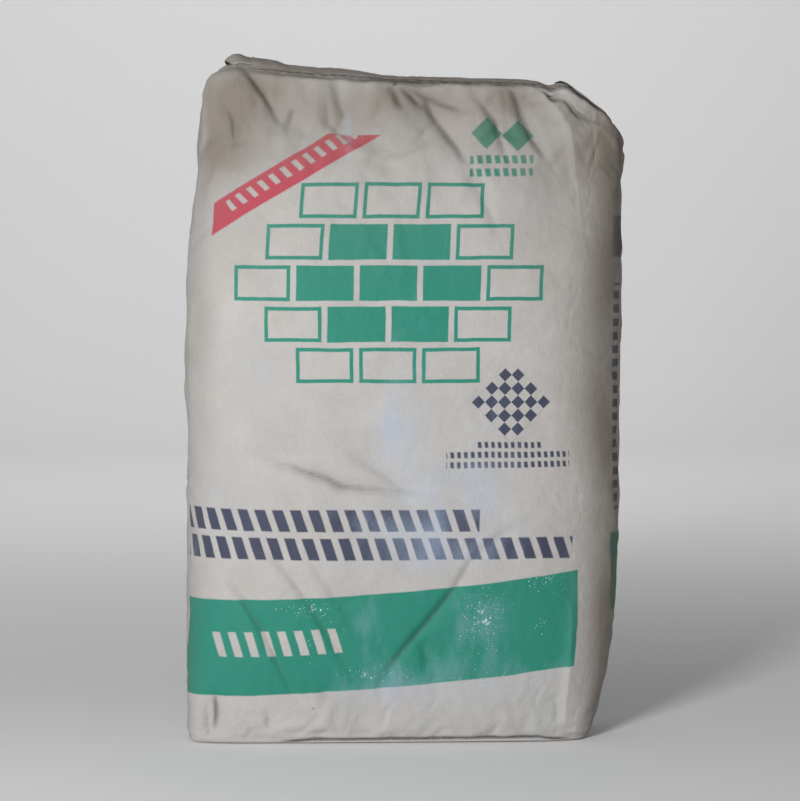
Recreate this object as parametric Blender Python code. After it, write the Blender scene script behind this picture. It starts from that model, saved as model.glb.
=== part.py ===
"""A full 50 kg cement sack: a pasted kraft paper valve sack that stands on its block bottom.

Metres, +Z up. The printed front faces -Y, and the origin is the middle of the footprint.
"""
import math

import bmesh
import bpy
from mathutils import Matrix

# Paper: a cover patch is one sheet, the flattened valve sleeve two sheets with a fold.
SHEET_THICKNESS = 0.0005
SLEEVE_THICKNESS = 0.0012
PASTE_GAP = 0.0003

# The filled tube from the bottom up. Each line is one cross section:
# height, left edge, right edge, front, back and how square its corners are.
SECTIONS = (
    (0.000, -0.203, 0.169, -0.060, 0.056, 8.0),
    (0.022, -0.203, 0.177, -0.067, 0.063, 6.0),
    (0.066, -0.203, 0.190, -0.074, 0.071, 4.5),
    (0.131, -0.203, 0.198, -0.080, 0.078, 3.5),
    (0.290, -0.203, 0.200, -0.084, 0.082, 3.0),
    (0.421, -0.202, 0.201, -0.081, 0.081, 3.1),
    (0.481, -0.197, 0.201, -0.077, 0.077, 3.5),
    (0.541, -0.189, 0.201, -0.070, 0.070, 4.3),
    (0.620, -0.183, 0.201, -0.058, 0.060, 6.5),
)

# The two block ends. The top's folded edge and the dome over it are given along X. Both are highest
# at the valve corner, on the left. The right corner has slumped, because little cement fills it.
BOTTOM_LEVEL = SHEET_THICKNESS + PASTE_GAP
TOP_EDGE = (
    (-0.190, 0.6240),
    (-0.145, 0.6180),
    (-0.098, 0.6120),
    (-0.050, 0.6095),
    (0.010, 0.6070),
    (0.106, 0.6050),
    (0.135, 0.6005),
    (0.150, 0.6000),
    (0.162, 0.5930),
    (0.176, 0.5860),
    (0.205, 0.5830),
)
TOP_DOME = (
    (-0.190, 0.0120),
    (-0.100, 0.0118),
    (-0.055, 0.0110),
    (-0.015, 0.0075),
    (0.205, 0.0070),
)
DOME_SQUARENESS = 10
LEFT_CORNER = (0.022, 0.020)
RIGHT_CORNER = (0.040, 0.032)
FOLD_RADIUS = 0.005
FOLD_STEPS = 3

# Grid lines inside an end face straighten quickly away from its rounded corners.
INNER_STRAIGHTNESS = 8

# Mesh steps of the tube: along its wide sides, across its narrow sides and up its height.
LONG_STEPS = 22
SHORT_STEPS = 8
HEIGHT_STEPS = 22

# Steps of the end grid that the patches cover.
PATCH_INSET = 1
TOP_PATCH_STEPS = (5, 18)
BOTTOM_PATCH_STEPS = (2, 20)

# The sleeve on the end face's unit square: along it from the free end, half its width, the steps
# of both, and how high its free end stands over the sack.
SLEEVE_SPAN = (-0.921, -0.770)
SLEEVE_HALF_WIDTH = 0.60
SLEEVE_LONG_STEPS = 5
SLEEVE_WIDE_STEPS = 4
SLEEVE_LIFT = 0.0060

KRAFT = (0.47, 0.42, 0.37, 1.0)
PATCH_KRAFT = (0.40, 0.33, 0.26, 1.0)
SLEEVE_KRAFT = (0.44, 0.37, 0.30, 1.0)
PAPER_ROUGHNESS = 0.85


def clear_scene():
    for item in list(bpy.data.objects):
        bpy.data.objects.remove(item, do_unlink=True)


def curve_through(knots, place):
    """Values on a smooth curve through lines of a place followed by its values."""
    place = min(max(place, knots[0][0]), knots[-1][0])
    last = len(knots) - 2
    index = next(i for i in range(last + 1) if place <= knots[i + 1][0] or i == last)
    before, low, high, after = (
        knots[min(max(i, 0), last + 1)] for i in range(index - 1, index + 3)
    )
    span = high[0] - low[0]
    share = (place - low[0]) / span
    values = []
    for column in range(1, len(low)):
        slope_low = (high[column] - before[column]) / (high[0] - before[0]) * span
        slope_high = (after[column] - low[column]) / (after[0] - low[0]) * span
        values.append(
            (2 * share**3 - 3 * share**2 + 1) * low[column]
            + (share**3 - 2 * share**2 + share) * slope_low
            + (3 * share**2 - 2 * share**3) * high[column]
            + (share**3 - share**2) * slope_high
        )
    return values


def sine_steps(count):
    """Places from -1 to 1 that lie closer together towards the corners."""
    return [math.sin(math.pi / 2 * (2 * k / count - 1)) for k in range(count + 1)]


def tube_point(u, v, height, inset=0.0):
    """Point of the tube's section for a place on a unit square, drawn in by an inset."""
    left, right, front, back, square = curve_through(SECTIONS, height)
    reach = max(abs(u), abs(v))
    rounding = reach / (abs(u) ** square + abs(v) ** square) ** (1 / square) if reach else 1.0
    spread = 1 + (rounding - 1) * reach**INNER_STRAIGHTNESS
    x = (left + right) / 2 + ((right - left) / 2 - inset) * u * spread
    y = (front + back) / 2 + ((back - front) / 2 - inset) * v * spread
    return x, y


def corner_drop(distance, corner):
    """How far a rounded corner falls, at a distance past the start of its rounding."""
    run, fall = corner
    share = min(max(distance / run, 0.0), 1.0)
    return fall * (1 - math.sqrt(1 - share * share))


def top_level(x):
    """Height of the folded edge of the top end."""
    left, right = SECTIONS[-1][1:3]
    level = curve_through(TOP_EDGE, x)[0]
    level -= corner_drop(left + LEFT_CORNER[0] - x, LEFT_CORNER)
    level -= corner_drop(x - right + RIGHT_CORNER[0], RIGHT_CORNER)
    return level


def rim_level(u, v):
    """Height of the top's edge over a place on the unit square."""
    return top_level(tube_point(u, v, SECTIONS[-1][0])[0])


def ring_places():
    """Places round a unit square, from the front left corner by the right side."""
    along = sine_steps(LONG_STEPS)
    across = sine_steps(SHORT_STEPS)
    places = [(u, -1.0) for u in along[:-1]]
    places += [(1.0, v) for v in across[:-1]]
    places += [(u, 1.0) for u in reversed(along[1:])]
    places += [(-1.0, v) for v in reversed(across[1:])]
    return places


def ring_index(i, j):
    """Index in the ring of a border place of the end grid."""
    if j == 0:
        return i
    if i == LONG_STEPS:
        return LONG_STEPS + j
    if j == SHORT_STEPS:
        return 2 * LONG_STEPS + SHORT_STEPS - i
    return (2 * LONG_STEPS + 2 * SHORT_STEPS - j) % (2 * LONG_STEPS + 2 * SHORT_STEPS)


def fold_profile():
    """Inset and fall from a block end's face, along the fold from the wall to the face."""
    turns = [math.pi / 2 * k / FOLD_STEPS for k in range(FOLD_STEPS + 1)]
    return [(FOLD_RADIUS * (1 - math.cos(t)), FOLD_RADIUS * (1 - math.sin(t))) for t in turns]


def body_rows():
    """Rows of the wall and its two end folds, as functions of a ring place."""
    rows = []

    def bottom_fold(u, v, inset, rise):
        height = BOTTOM_LEVEL + rise
        return (*tube_point(u, v, height, inset), height)

    def wall(u, v, share):
        rim = rim_level(u, v) - FOLD_RADIUS
        foot = BOTTOM_LEVEL + FOLD_RADIUS
        height = foot + share * (rim - foot)
        return (*tube_point(u, v, height), height)

    def top_fold(u, v, inset, fall):
        height = rim_level(u, v) - fall
        return (*tube_point(u, v, height, inset), height)

    places = ring_places()
    for inset, rise in reversed(fold_profile()):
        rows.append([bottom_fold(u, v, inset, rise) for u, v in places])
    for step in range(1, HEIGHT_STEPS):
        rows.append([wall(u, v, step / HEIGHT_STEPS) for u, v in places])
    for inset, fall in fold_profile():
        rows.append([top_fold(u, v, inset, fall) for u, v in places])
    return rows


def top_face_point(u, v):
    """Point of the domed top face over a place on the unit square."""
    level = rim_level(u, v)
    x, y = tube_point(u, v, level, FOLD_RADIUS)
    dome = curve_through(TOP_DOME, x)[0] * (1 - u**DOME_SQUARENESS) * (1 - abs(v) ** 2.5)
    return x, y, level + dome


def bottom_face_point(u, v):
    """Point of the flat bottom face over a place on the unit square."""
    return (*tube_point(u, v, BOTTOM_LEVEL, FOLD_RADIUS), BOTTOM_LEVEL)


def add_end_face(mesh, ring, face_point):
    """Close one end of the tube with a grid of faces."""
    along = sine_steps(LONG_STEPS)
    across = sine_steps(SHORT_STEPS)
    grid = {}
    for i, u in enumerate(along):
        for j, v in enumerate(across):
            on_border = i in (0, LONG_STEPS) or j in (0, SHORT_STEPS)
            grid[i, j] = ring[ring_index(i, j)] if on_border else mesh.verts.new(face_point(u, v))
    for i in range(LONG_STEPS):
        for j in range(SHORT_STEPS):
            mesh.faces.new((grid[i, j], grid[i + 1, j], grid[i + 1, j + 1], grid[i, j + 1]))


def finish_object(name, mesh, color):
    """Turn a bmesh into a smooth shaded object with its own paper material."""
    bmesh.ops.recalc_face_normals(mesh, faces=mesh.faces)
    data = bpy.data.meshes.new(name)
    mesh.to_mesh(data)
    mesh.free()
    data.shade_smooth()
    data.set_sharp_from_angle(angle=math.radians(40))
    paper = bpy.data.materials.new(name + "_paper")
    paper.use_nodes = True
    shader = paper.node_tree.nodes["Principled BSDF"]
    shader.inputs["Base Color"].default_value = color
    shader.inputs["Roughness"].default_value = PAPER_ROUGHNESS
    shader.inputs["Metallic"].default_value = 0.0
    data.materials.append(paper)
    item = bpy.data.objects.new(name, data)
    bpy.context.scene.collection.objects.link(item)
    return item


def build_body():
    """The filled tube with its two folded block ends."""
    mesh = bmesh.new()
    rings = [[mesh.verts.new(point) for point in row] for row in body_rows()]
    for low, high in zip(rings, rings[1:]):
        for k in range(len(low)):
            n = (k + 1) % len(low)
            mesh.faces.new((low[k], low[n], high[n], high[k]))
    add_end_face(mesh, rings[0], bottom_face_point)
    add_end_face(mesh, rings[-1], top_face_point)
    return finish_object("sack_body", mesh, KRAFT)


def build_sheet(name, color, along, across, underside, thickness):
    """A sheet of paper over lines of the unit square, with its underside at stated points."""
    mesh = bmesh.new()
    layers = []
    for rise in (0.0, thickness):
        layer = {}
        for u in along:
            for v in across:
                x, y, z = underside(u, v)
                layer[u, v] = mesh.verts.new((x, y, z + rise))
        layers.append(layer)
        for u, next_u in zip(along, along[1:]):
            for v, next_v in zip(across, across[1:]):
                corners = ((u, v), (next_u, v), (next_u, next_v), (u, next_v))
                mesh.faces.new([layer[c] for c in corners])
    border = [(u, across[0]) for u in along[:-1]]
    border += [(along[-1], v) for v in across[:-1]]
    border += [(u, across[-1]) for u in reversed(along[1:])]
    border += [(along[0], v) for v in reversed(across[1:])]
    low, high = layers
    for here, there in zip(border, border[1:] + border[:1]):
        mesh.faces.new((low[here], low[there], high[there], high[here]))
    return finish_object(name, mesh, color)


def patch_lines(steps):
    """Lines of the end grid that a cover patch spans, along the sack's width and depth."""
    along = sine_steps(LONG_STEPS)[steps[0]:steps[1] + 1]
    across = sine_steps(SHORT_STEPS)[PATCH_INSET:SHORT_STEPS - PATCH_INSET + 1]
    return along, across


def build_top_patch():
    """The cover strip pasted over the folds of the top end."""

    def underside(u, v):
        x, y, z = top_face_point(u, v)
        return x, y, z + PASTE_GAP

    return build_sheet("top_cover_patch", PATCH_KRAFT, *patch_lines(TOP_PATCH_STEPS),
                       underside, SHEET_THICKNESS)


def build_bottom_patch():
    """The cover strip under the bottom end. The sack stands on it."""

    def underside(u, v):
        x, y, _ = bottom_face_point(u, v)
        return x, y, 0.0

    return build_sheet("bottom_cover_patch", PATCH_KRAFT, *patch_lines(BOTTOM_PATCH_STEPS),
                       underside, SHEET_THICKNESS)


def build_valve_sleeve():
    """The flattened sleeve of the filling valve, whose free end stands up at the left corner."""
    free, root = SLEEVE_SPAN
    along = [free + (root - free) * k / SLEEVE_LONG_STEPS for k in range(SLEEVE_LONG_STEPS + 1)]
    across = [SLEEVE_HALF_WIDTH * (2 * k / SLEEVE_WIDE_STEPS - 1) for k in range(SLEEVE_WIDE_STEPS + 1)]

    def underside(u, v):
        x, y, z = top_face_point(u, v)
        share = (root - u) / (root - free)
        return x, y, z + 2 * PASTE_GAP + SLEEVE_LIFT * share * math.sqrt(share)

    return build_sheet("valve_sleeve", SLEEVE_KRAFT, along, across, underside, SLEEVE_THICKNESS)


def centre_on_footprint(items):
    """Move the pieces together, so that the origin is the middle of their box in X and Y."""
    corners = [vertex.co for item in items for vertex in item.data.vertices]
    middle = [(min(c[a] for c in corners) + max(c[a] for c in corners)) / 2 for a in range(2)]
    shift = Matrix.Translation((-middle[0], -middle[1], 0.0))
    for item in items:
        item.data.transform(shift)


def build():
    clear_scene()
    body = build_body()
    covers = [build_top_patch(), build_bottom_patch(), build_valve_sleeve()]
    centre_on_footprint([body, *covers])


build()
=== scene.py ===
"""Looks of a full cement sack: creased kraft paper, its print, its pasted ends and cement dust.

Metres, +Z up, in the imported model's frame. The printed front faces -Y.
"""
import math

import bpy
import numpy as np
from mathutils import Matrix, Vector, kdtree, noise


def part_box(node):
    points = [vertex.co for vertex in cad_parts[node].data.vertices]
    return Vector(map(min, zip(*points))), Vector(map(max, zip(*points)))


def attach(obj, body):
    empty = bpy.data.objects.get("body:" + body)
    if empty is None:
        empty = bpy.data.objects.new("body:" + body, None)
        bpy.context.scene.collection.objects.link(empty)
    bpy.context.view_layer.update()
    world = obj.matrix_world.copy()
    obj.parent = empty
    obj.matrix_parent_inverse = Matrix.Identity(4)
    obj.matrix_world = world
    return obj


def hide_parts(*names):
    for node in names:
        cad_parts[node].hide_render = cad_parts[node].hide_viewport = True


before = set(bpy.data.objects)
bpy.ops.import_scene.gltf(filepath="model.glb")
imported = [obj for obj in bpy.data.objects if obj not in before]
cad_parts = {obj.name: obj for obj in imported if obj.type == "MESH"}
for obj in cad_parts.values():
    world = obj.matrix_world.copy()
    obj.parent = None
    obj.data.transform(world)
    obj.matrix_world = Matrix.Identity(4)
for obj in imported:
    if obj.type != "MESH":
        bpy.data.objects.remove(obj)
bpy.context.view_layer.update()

SEED = 50

# The filled tube from the bottom up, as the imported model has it. Each line is one cross section:
# height, left edge, right edge, front, back and how square its corners are.
SECTIONS = np.array((
    (0.000, -0.203, 0.169, -0.060, 0.056, 8.0),
    (0.022, -0.203, 0.177, -0.067, 0.063, 6.0),
    (0.066, -0.203, 0.190, -0.074, 0.071, 4.5),
    (0.131, -0.203, 0.198, -0.080, 0.078, 3.5),
    (0.290, -0.203, 0.200, -0.084, 0.082, 3.0),
    (0.421, -0.202, 0.201, -0.081, 0.081, 3.1),
    (0.481, -0.197, 0.201, -0.077, 0.077, 3.5),
    (0.541, -0.189, 0.201, -0.070, 0.070, 4.3),
    (0.620, -0.183, 0.201, -0.058, 0.060, 6.5),
))

# The two block ends. The top's folded edge and the dome above it are given along X. Its corners are
# given as how far in they start to drop and how far they fall.
BOTTOM_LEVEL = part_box("sack_body")[0][2]
TOP_EDGE = np.array((
    (-0.190, 0.6250),
    (-0.145, 0.6180),
    (-0.098, 0.6120),
    (-0.050, 0.6095),
    (0.010, 0.6070),
    (0.106, 0.6050),
    (0.135, 0.6020),
    (0.150, 0.5990),
    (0.162, 0.5930),
    (0.176, 0.5865),
    (0.205, 0.5840),
))
TOP_DOME = np.array((
    (-0.190, 0.0120),
    (-0.100, 0.0118),
    (-0.055, 0.0110),
    (-0.015, 0.0075),
    (0.205, 0.0070),
))
DOME_SQUARENESS = (10, 2.5)
LEFT_CORNER = (0.022, 0.020)
RIGHT_CORNER = (0.040, 0.032)
FOLD_RADIUS = 0.004
SOFT_CORNER_RADIUS = 0.009
FOOT_RADIUS = 0.0025

# Mesh steps of the paper: along a wide side, across a narrow side, up the wall and round a fold.
LONG_STEPS = 200
SHORT_STEPS = 46
WALL_STEPS = 280
FOLD_STEPS = 5

# How much closer the steps stand near the corners and near the wall's ends, and how straight the
# mesh's lines stay in the middle of an end face.
CORNER_EASE = 0.35
ROW_EASE = 0.5
INNER_STRAIGHTNESS = 8


def smooth_step(low, high, value):
    share = np.clip((value - low) / (high - low), 0.0, 1.0)
    return share * share * (3 - 2 * share)


def hill(value, centre, width):
    return np.exp(-(((value - centre) / width) ** 2))


def curve_through(knots, places):
    """Values on a smooth curve through lines of a place followed by its values."""
    where = knots[:, 0]
    places = np.clip(places, where[0], where[-1])
    low = np.clip(np.searchsorted(where, places, side="right") - 1, 0, len(where) - 2)
    before, high, after = np.maximum(low - 1, 0), low + 1, np.minimum(low + 2, len(where) - 1)
    span = where[high] - where[low]
    t = ((places - where[low]) / span)[..., None]
    span = span[..., None]
    values = knots[:, 1:]
    slope_low = (values[high] - values[before]) / (where[high] - where[before])[..., None] * span
    slope_high = (values[after] - values[low]) / (where[after] - where[low])[..., None] * span
    curve = (2 * t**3 - 3 * t**2 + 1) * values[low] + (t**3 - 2 * t**2 + t) * slope_low
    curve += (3 * t**2 - 2 * t**3) * values[high] + (t**3 - t**2) * slope_high
    return np.moveaxis(curve, -1, 0)


def tube_point(u, v, height, inset=0.0):
    """X and Y on the tube's section for places on a unit square, drawn in by an inset."""
    u, v, height, inset = np.broadcast_arrays(u, v, height, inset)
    left, right, front, back, square = curve_through(SECTIONS, height)
    reach = np.maximum(np.maximum(abs(u), abs(v)), 1e-9)
    rounding = reach / (abs(u) ** square + abs(v) ** square + 1e-30) ** (1 / square)
    spread = 1 + (rounding - 1) * reach**INNER_STRAIGHTNESS
    x = (left + right) / 2 + ((right - left) / 2 - inset) * u * spread
    y = (front + back) / 2 + ((back - front) / 2 - inset) * v * spread
    return x, y


def corner_drop(distance, corner):
    run, fall = corner
    share = np.clip(distance / run, 0.0, 1.0)
    return fall * (1 - np.sqrt(1 - share * share))


def top_level(x):
    """Height of the folded edge of the top end."""
    left, right = SECTIONS[-1, 1:3]
    level = curve_through(TOP_EDGE, x)[0]
    level = level - corner_drop(left + LEFT_CORNER[0] - x, LEFT_CORNER)
    return level - corner_drop(x - right + RIGHT_CORNER[0], RIGHT_CORNER)


def fold_radius(x):
    """Radius of the top's folded edge, which is much softer round the left corner."""
    return FOLD_RADIUS + (SOFT_CORNER_RADIUS - FOLD_RADIUS) * smooth_step(-0.120, -0.165, x)


def eased_steps(count):
    """Places from -1 to 1, a little closer together towards the corners."""
    even = 2 * np.arange(count + 1) / count - 1
    return (1 - CORNER_EASE) * even + CORNER_EASE * np.sin(math.pi / 2 * even)


ALONG = eased_steps(LONG_STEPS)
ACROSS = eased_steps(SHORT_STEPS)
COLUMNS = 2 * (LONG_STEPS + SHORT_STEPS)


def border_columns(along, across):
    """Grid places on the border of an end face, each with its column in the wall's ring."""
    columns = 2 * (along + across)
    for i in range(along + 1):
        yield i, 0, i
        yield i, across, 2 * along + across - i
    for j in range(1, across):
        yield 0, j, columns - j
        yield along, j, along + j


def ring_places():
    """Places round a unit square, from the front left corner by the right side."""
    ones_long, ones_short = np.ones(LONG_STEPS), np.ones(SHORT_STEPS)
    u = np.concatenate((ALONG[:-1], ones_short, ALONG[:0:-1], -ones_short))
    v = np.concatenate((-ones_long, ACROSS[:-1], ones_long, ACROSS[:0:-1]))
    return u, v


def sack_grid():
    """Smooth places of the whole sack: wall rows, then the two end faces' inner places."""
    u, v = ring_places()
    x_rim, _ = tube_point(u, v, SECTIONS[-1, 0])
    rim = top_level(x_rim)
    radius = fold_radius(x_rim)[None, :]
    turns = np.linspace(0, math.pi / 2, FOLD_STEPS + 1)[:, None]
    inset, fall = 1 - np.cos(turns), 1 - np.sin(turns)
    foot = BOTTOM_LEVEL + FOOT_RADIUS
    share = np.arange(1, WALL_STEPS)[:, None] / WALL_STEPS
    share = (1 - ROW_EASE) * share + ROW_EASE * (1 - np.cos(math.pi * share)) / 2
    level = np.ones((1, COLUMNS))
    heights = np.concatenate((
        (BOTTOM_LEVEL + FOOT_RADIUS * fall[::-1]) * level,
        foot + share * (rim - radius - foot),
        rim - fall * radius,
    ))
    insets = np.concatenate((FOOT_RADIUS * inset[::-1] * level, 0 * share * level, inset * radius))
    x, y = tube_point(u[None, :], v[None, :], heights, insets)
    wall = np.stack((x, y, heights), axis=-1)
    uu, vv = np.meshgrid(ALONG[1:-1], ACROSS[1:-1], indexing="ij")
    x, y = tube_point(uu, vv, BOTTOM_LEVEL, FOOT_RADIUS)
    bottom = np.stack((x, y, np.full_like(x, BOTTOM_LEVEL)), axis=-1)
    x_edge, _ = tube_point(uu, vv, SECTIONS[-1, 0])
    level = top_level(x_edge)
    x, y = tube_point(uu, vv, level, fold_radius(x_edge))
    along, across = DOME_SQUARENESS
    dome = curve_through(TOP_DOME, x)[0] * (1 - uu**along) * (1 - abs(vv) ** across)
    top = np.stack((x, y, level + dome), axis=-1)
    return wall, bottom, top


def wall_of(values, rows):
    """The wall's part of the values of every place, as rows up it and columns round it."""
    return values[:rows * COLUMNS].reshape(rows, COLUMNS, *values.shape[1:])


def grid_quads(index):
    """Corner indices of the faces between the places of a grid."""
    corners = (index[:-1, :-1], index[1:, :-1], index[1:, 1:], index[:-1, 1:])
    return np.stack(corners, axis=-1).reshape(-1, 4)


def ring_quads(index):
    """Corner indices of the faces between the places of closed rings."""
    after = np.roll(index, -1, axis=1)
    return np.stack((index[:-1], after[:-1], after[1:], index[1:]), axis=-1).reshape(-1, 4)


def sack_faces(rows, along, across):
    """Corner indices of every face, and the grids of vertex indices of the two end faces."""
    columns = 2 * (along + across)
    ring = np.arange(rows * columns).reshape(rows, columns)
    quads = [ring_quads(ring)]
    grids = []
    start = rows * columns
    for row, flip in ((0, True), (rows - 1, False)):
        grid = np.zeros((along + 1, across + 1), dtype=int)
        inner = (along - 1) * (across - 1)
        grid[1:-1, 1:-1] = start + np.arange(inner).reshape(along - 1, across - 1)
        start += inner
        for i, j, column in border_columns(along, across):
            grid[i, j] = ring[row, column % columns]
        face = grid_quads(grid)
        quads.append(face[:, ::-1] if flip else face)
        grids.append(grid)
    return np.concatenate(quads), grids


def paper_coordinates(places, rows):
    """Share of the way round the tube from the front's middle, and the height up the paper."""
    wall = wall_of(places, rows)
    step = np.linalg.norm(np.roll(wall, -1, axis=1) - wall, axis=2)
    walked = np.concatenate((np.zeros((rows, 1)), np.cumsum(step, axis=1)[:, :-1]), axis=1)
    middle = LONG_STEPS // 2
    around = (walked - walked[:, middle:middle + 1]) / step.sum(axis=1, keepdims=True)
    around = (around + 0.5) % 1.0 - 0.5
    flat = np.zeros((len(places), 2))
    flat[:rows * COLUMNS, 0] = around.ravel()
    flat[:, 1] = places[:, 2]
    flat[rows * COLUMNS:, 0] = places[rows * COLUMNS:, 0]
    return flat


# Folds of the printed front, read from the photo. Each has its points in X and Z, from its top
# down, how deep it is and how wide. A negative depth is a raised ridge. As seen from the front a
# fold reaches further on its right than on its left, both in widths. Near the top each fold is
# deeper by a share. The bluntness rounds its bottom. The line along it gets soot and painted
# shade, fully so where it is as deep and as narrow as stated.
FOLD_REACHES = (3.2, 0.8)
TOP_FOLD_GAIN = 0.25
FOLD_BLUNTNESS = 0.0008
FOLD_LINE_WIDTH = 0.0021
FOLD_LINE_STRENGTH = 1.6
DARK_FOLD_DEPTH = 0.0055
DARK_FOLD_WIDTH = 0.0036
FRONT_FOLDS = (
    (((0.015, 0.599), (0.018, 0.592), (0.025, 0.576), (0.037, 0.560), (0.047, 0.548), (0.053, 0.537)),
     0.0070, 0.0042),
    (((-0.013, 0.604), (-0.0095, 0.593), (-0.004, 0.582)), 0.0045, 0.0030),
    (((-0.006, 0.604), (-0.002, 0.600), (0.0055, 0.594), (0.0125, 0.587)), 0.0040, 0.0028),
    (((0.002, 0.604), (0.0085, 0.600), (0.030, 0.590), (0.052, 0.582)), 0.0034, 0.0030),
    (((0.062, 0.595), (0.067, 0.588), (0.0805, 0.572), (0.0905, 0.537)), 0.0036, 0.0030),
    (((0.0945, 0.605), (0.102, 0.5875), (0.105, 0.576), (0.114, 0.556), (0.1255, 0.538)), 0.0059, 0.0036),
    (((0.106, 0.590), (0.119, 0.570), (0.133, 0.534)), -0.0032, 0.0040),
    (((0.127, 0.599), (0.139, 0.578), (0.146, 0.563), (0.150, 0.545), (0.153, 0.520)), -0.0050, 0.0045),
    (((0.122, 0.606), (0.1255, 0.603), (0.133, 0.595), (0.142, 0.591)), 0.0059, 0.0030),
    (((0.142, 0.592), (0.154, 0.580), (0.169, 0.571)), 0.0045, 0.0030),
    (((0.147, 0.590), (0.160, 0.579), (0.172, 0.567)), -0.0042, 0.0036),
    (((-0.150, 0.622), (-0.143, 0.614), (-0.1325, 0.600), (-0.124, 0.586), (-0.117, 0.574)),
     0.0042, 0.0030),
    (((-0.154, 0.610), (-0.147, 0.593), (-0.144, 0.575), (-0.148, 0.556)), -0.0042, 0.0048),
    (((-0.102, 0.585), (-0.105, 0.576), (-0.1085, 0.564)), 0.0035, 0.0026),
    (((-0.167, 0.593), (-0.158, 0.575), (-0.156, 0.548)), 0.0036, 0.0048),
    (((-0.063, 0.599), (-0.057, 0.577), (-0.061, 0.558)), 0.0023, 0.0046),
    (((-0.1225, 0.264), (-0.1045, 0.2595), (-0.0887, 0.2535), (-0.073, 0.2485), (-0.0595, 0.2413),
      (-0.0437, 0.2395), (-0.0055, 0.2375)), 0.0076, 0.0036),
    (((-0.046, 0.268), (-0.030, 0.258), (-0.0145, 0.247), (-0.004, 0.240), (0.020, 0.236)), 0.0070, 0.0056),
    (((-0.140, 0.2705), (-0.124, 0.2715), (-0.111, 0.271), (-0.098, 0.267)), 0.0030, 0.0040),
    (((-0.153, 0.289), (-0.100, 0.283), (-0.051, 0.289), (-0.003, 0.285)), 0.0018, 0.0070),
    (((-0.129, 0.316), (-0.071, 0.304), (-0.022, 0.308)), 0.0015, 0.0080),
    (((-0.169, 0.162), (-0.150, 0.137), (-0.133, 0.108), (-0.103, 0.046)), 0.0030, 0.0030),
    (((-0.137, 0.195), (-0.109, 0.160), (-0.086, 0.127), (-0.065, 0.092), (-0.053, 0.069)), 0.0028, 0.0034),
    (((-0.094, 0.183), (-0.076, 0.154), (-0.059, 0.129), (-0.045, 0.102)), 0.0019, 0.0034),
    (((0.061, 0.177), (0.042, 0.145), (0.020, 0.117), (-0.003, 0.090), (-0.026, 0.056)), 0.0039, 0.0026),
    (((0.094, 0.201), (0.077, 0.189), (0.061, 0.176)), 0.0018, 0.0034),
    (((0.011, 0.096), (0.018, 0.085), (0.020, 0.069)), 0.0047, 0.0052),
    (((-0.061, 0.363), (-0.038, 0.357), (-0.014, 0.365)), -0.0018, 0.0050),
    (((0.050, 0.532), (0.073, 0.495), (0.084, 0.466)), 0.0023, 0.0050),
    (((-0.177, 0.050), (-0.176, 0.028), (-0.177, 0.013)), 0.0043, 0.0034),
    (((-0.187, 0.040), (-0.185, 0.015), (-0.183, 0.005)), 0.0039, 0.0034),
    (((-0.129, 0.034), (-0.125, 0.015)), 0.0022, 0.0034),
    (((0.152, 0.130), (0.150, 0.080), (0.147, 0.040), (0.146, 0.012)), -0.0041, 0.0040),
    (((0.137, 0.046), (0.139, 0.033), (0.139, 0.020)), 0.0019, 0.0040),
    (((-0.078, 0.056), (-0.072, 0.040)), 0.0018, 0.0030),
)

# The crease over the bottom end's folded edge, which shows along the foot of the front as a groove
# with painted shadow in it.
FOOT_CREASE = ((-0.122, 0.0014), (-0.085, 0.0042), (0.000, 0.0044), (0.060, 0.0050), (0.122, 0.0056),
               (0.138, 0.0030), (0.160, 0.0022))
FOOT_CREASE_DEPTH = 0.0026
FOOT_CREASE_WIDTH = 0.0015
FOOT_CREASE_FADE = 0.02
FOOT_FOLD_LIFT = 0.0009


def foot_fold(x, z, facing):
    """Heights of the folded edge at the foot of the front, and its crease's share of painted shadow."""
    places, levels = np.array(FOOT_CREASE).T
    level = np.interp(x, places, levels)
    ends = facing * smooth_step(places[0], places[0] + FOOT_CREASE_FADE, x)
    ends = ends * smooth_step(places[-1], places[-1] - FOOT_CREASE_FADE, x)
    line = hill(z, level, FOOT_CREASE_WIDTH)
    below = smooth_step(level + 0.0004, level - 0.0012, z)
    return (FOOT_FOLD_LIFT * below - FOOT_CREASE_DEPTH * line) * ends, line * ends


def along_line(x, z, points):
    """Distance to a line of points, above 0 on its left as it runs, and the share of its length."""
    points = np.array(points)
    lengths = np.linalg.norm(np.diff(points, axis=0), axis=1)
    total = lengths.sum()
    nearest = np.full(x.shape, 1e9)
    signed = np.zeros(x.shape)
    share = np.zeros(x.shape)
    walked = 0.0
    for start, end, length in zip(points, points[1:], lengths):
        way = (end - start) / length
        dx, dz = x - start[0], z - start[1]
        t = np.clip(dx * way[0] + dz * way[1], 0.0, length)
        off_x, off_z = dx - t * way[0], dz - t * way[1]
        distance = np.hypot(off_x, off_z)
        closer = distance < nearest
        nearest = np.where(closer, distance, nearest)
        side = np.where(dx * way[1] - dz * way[0] >= 0, -1.0, 1.0)
        signed = np.where(closer, distance * side, signed)
        share = np.where(closer, (walked + t) / total, share)
        walked += length
    return signed, share


def fold_height(distance, share, depth, width):
    """Paper's height over a fold: steep on its left, sloping gently on its right, gone at its ends."""
    taper = np.sin(math.pi * np.clip(share * 0.92 + 0.04, 0, 1)) ** 0.6
    right, left = FOLD_REACHES
    reach = np.where(distance > 0, right * width, left * width)
    away = np.sqrt(distance**2 + FOLD_BLUNTNESS**2) - FOLD_BLUNTNESS
    return -depth * taper * np.exp(-away / reach)


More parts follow.
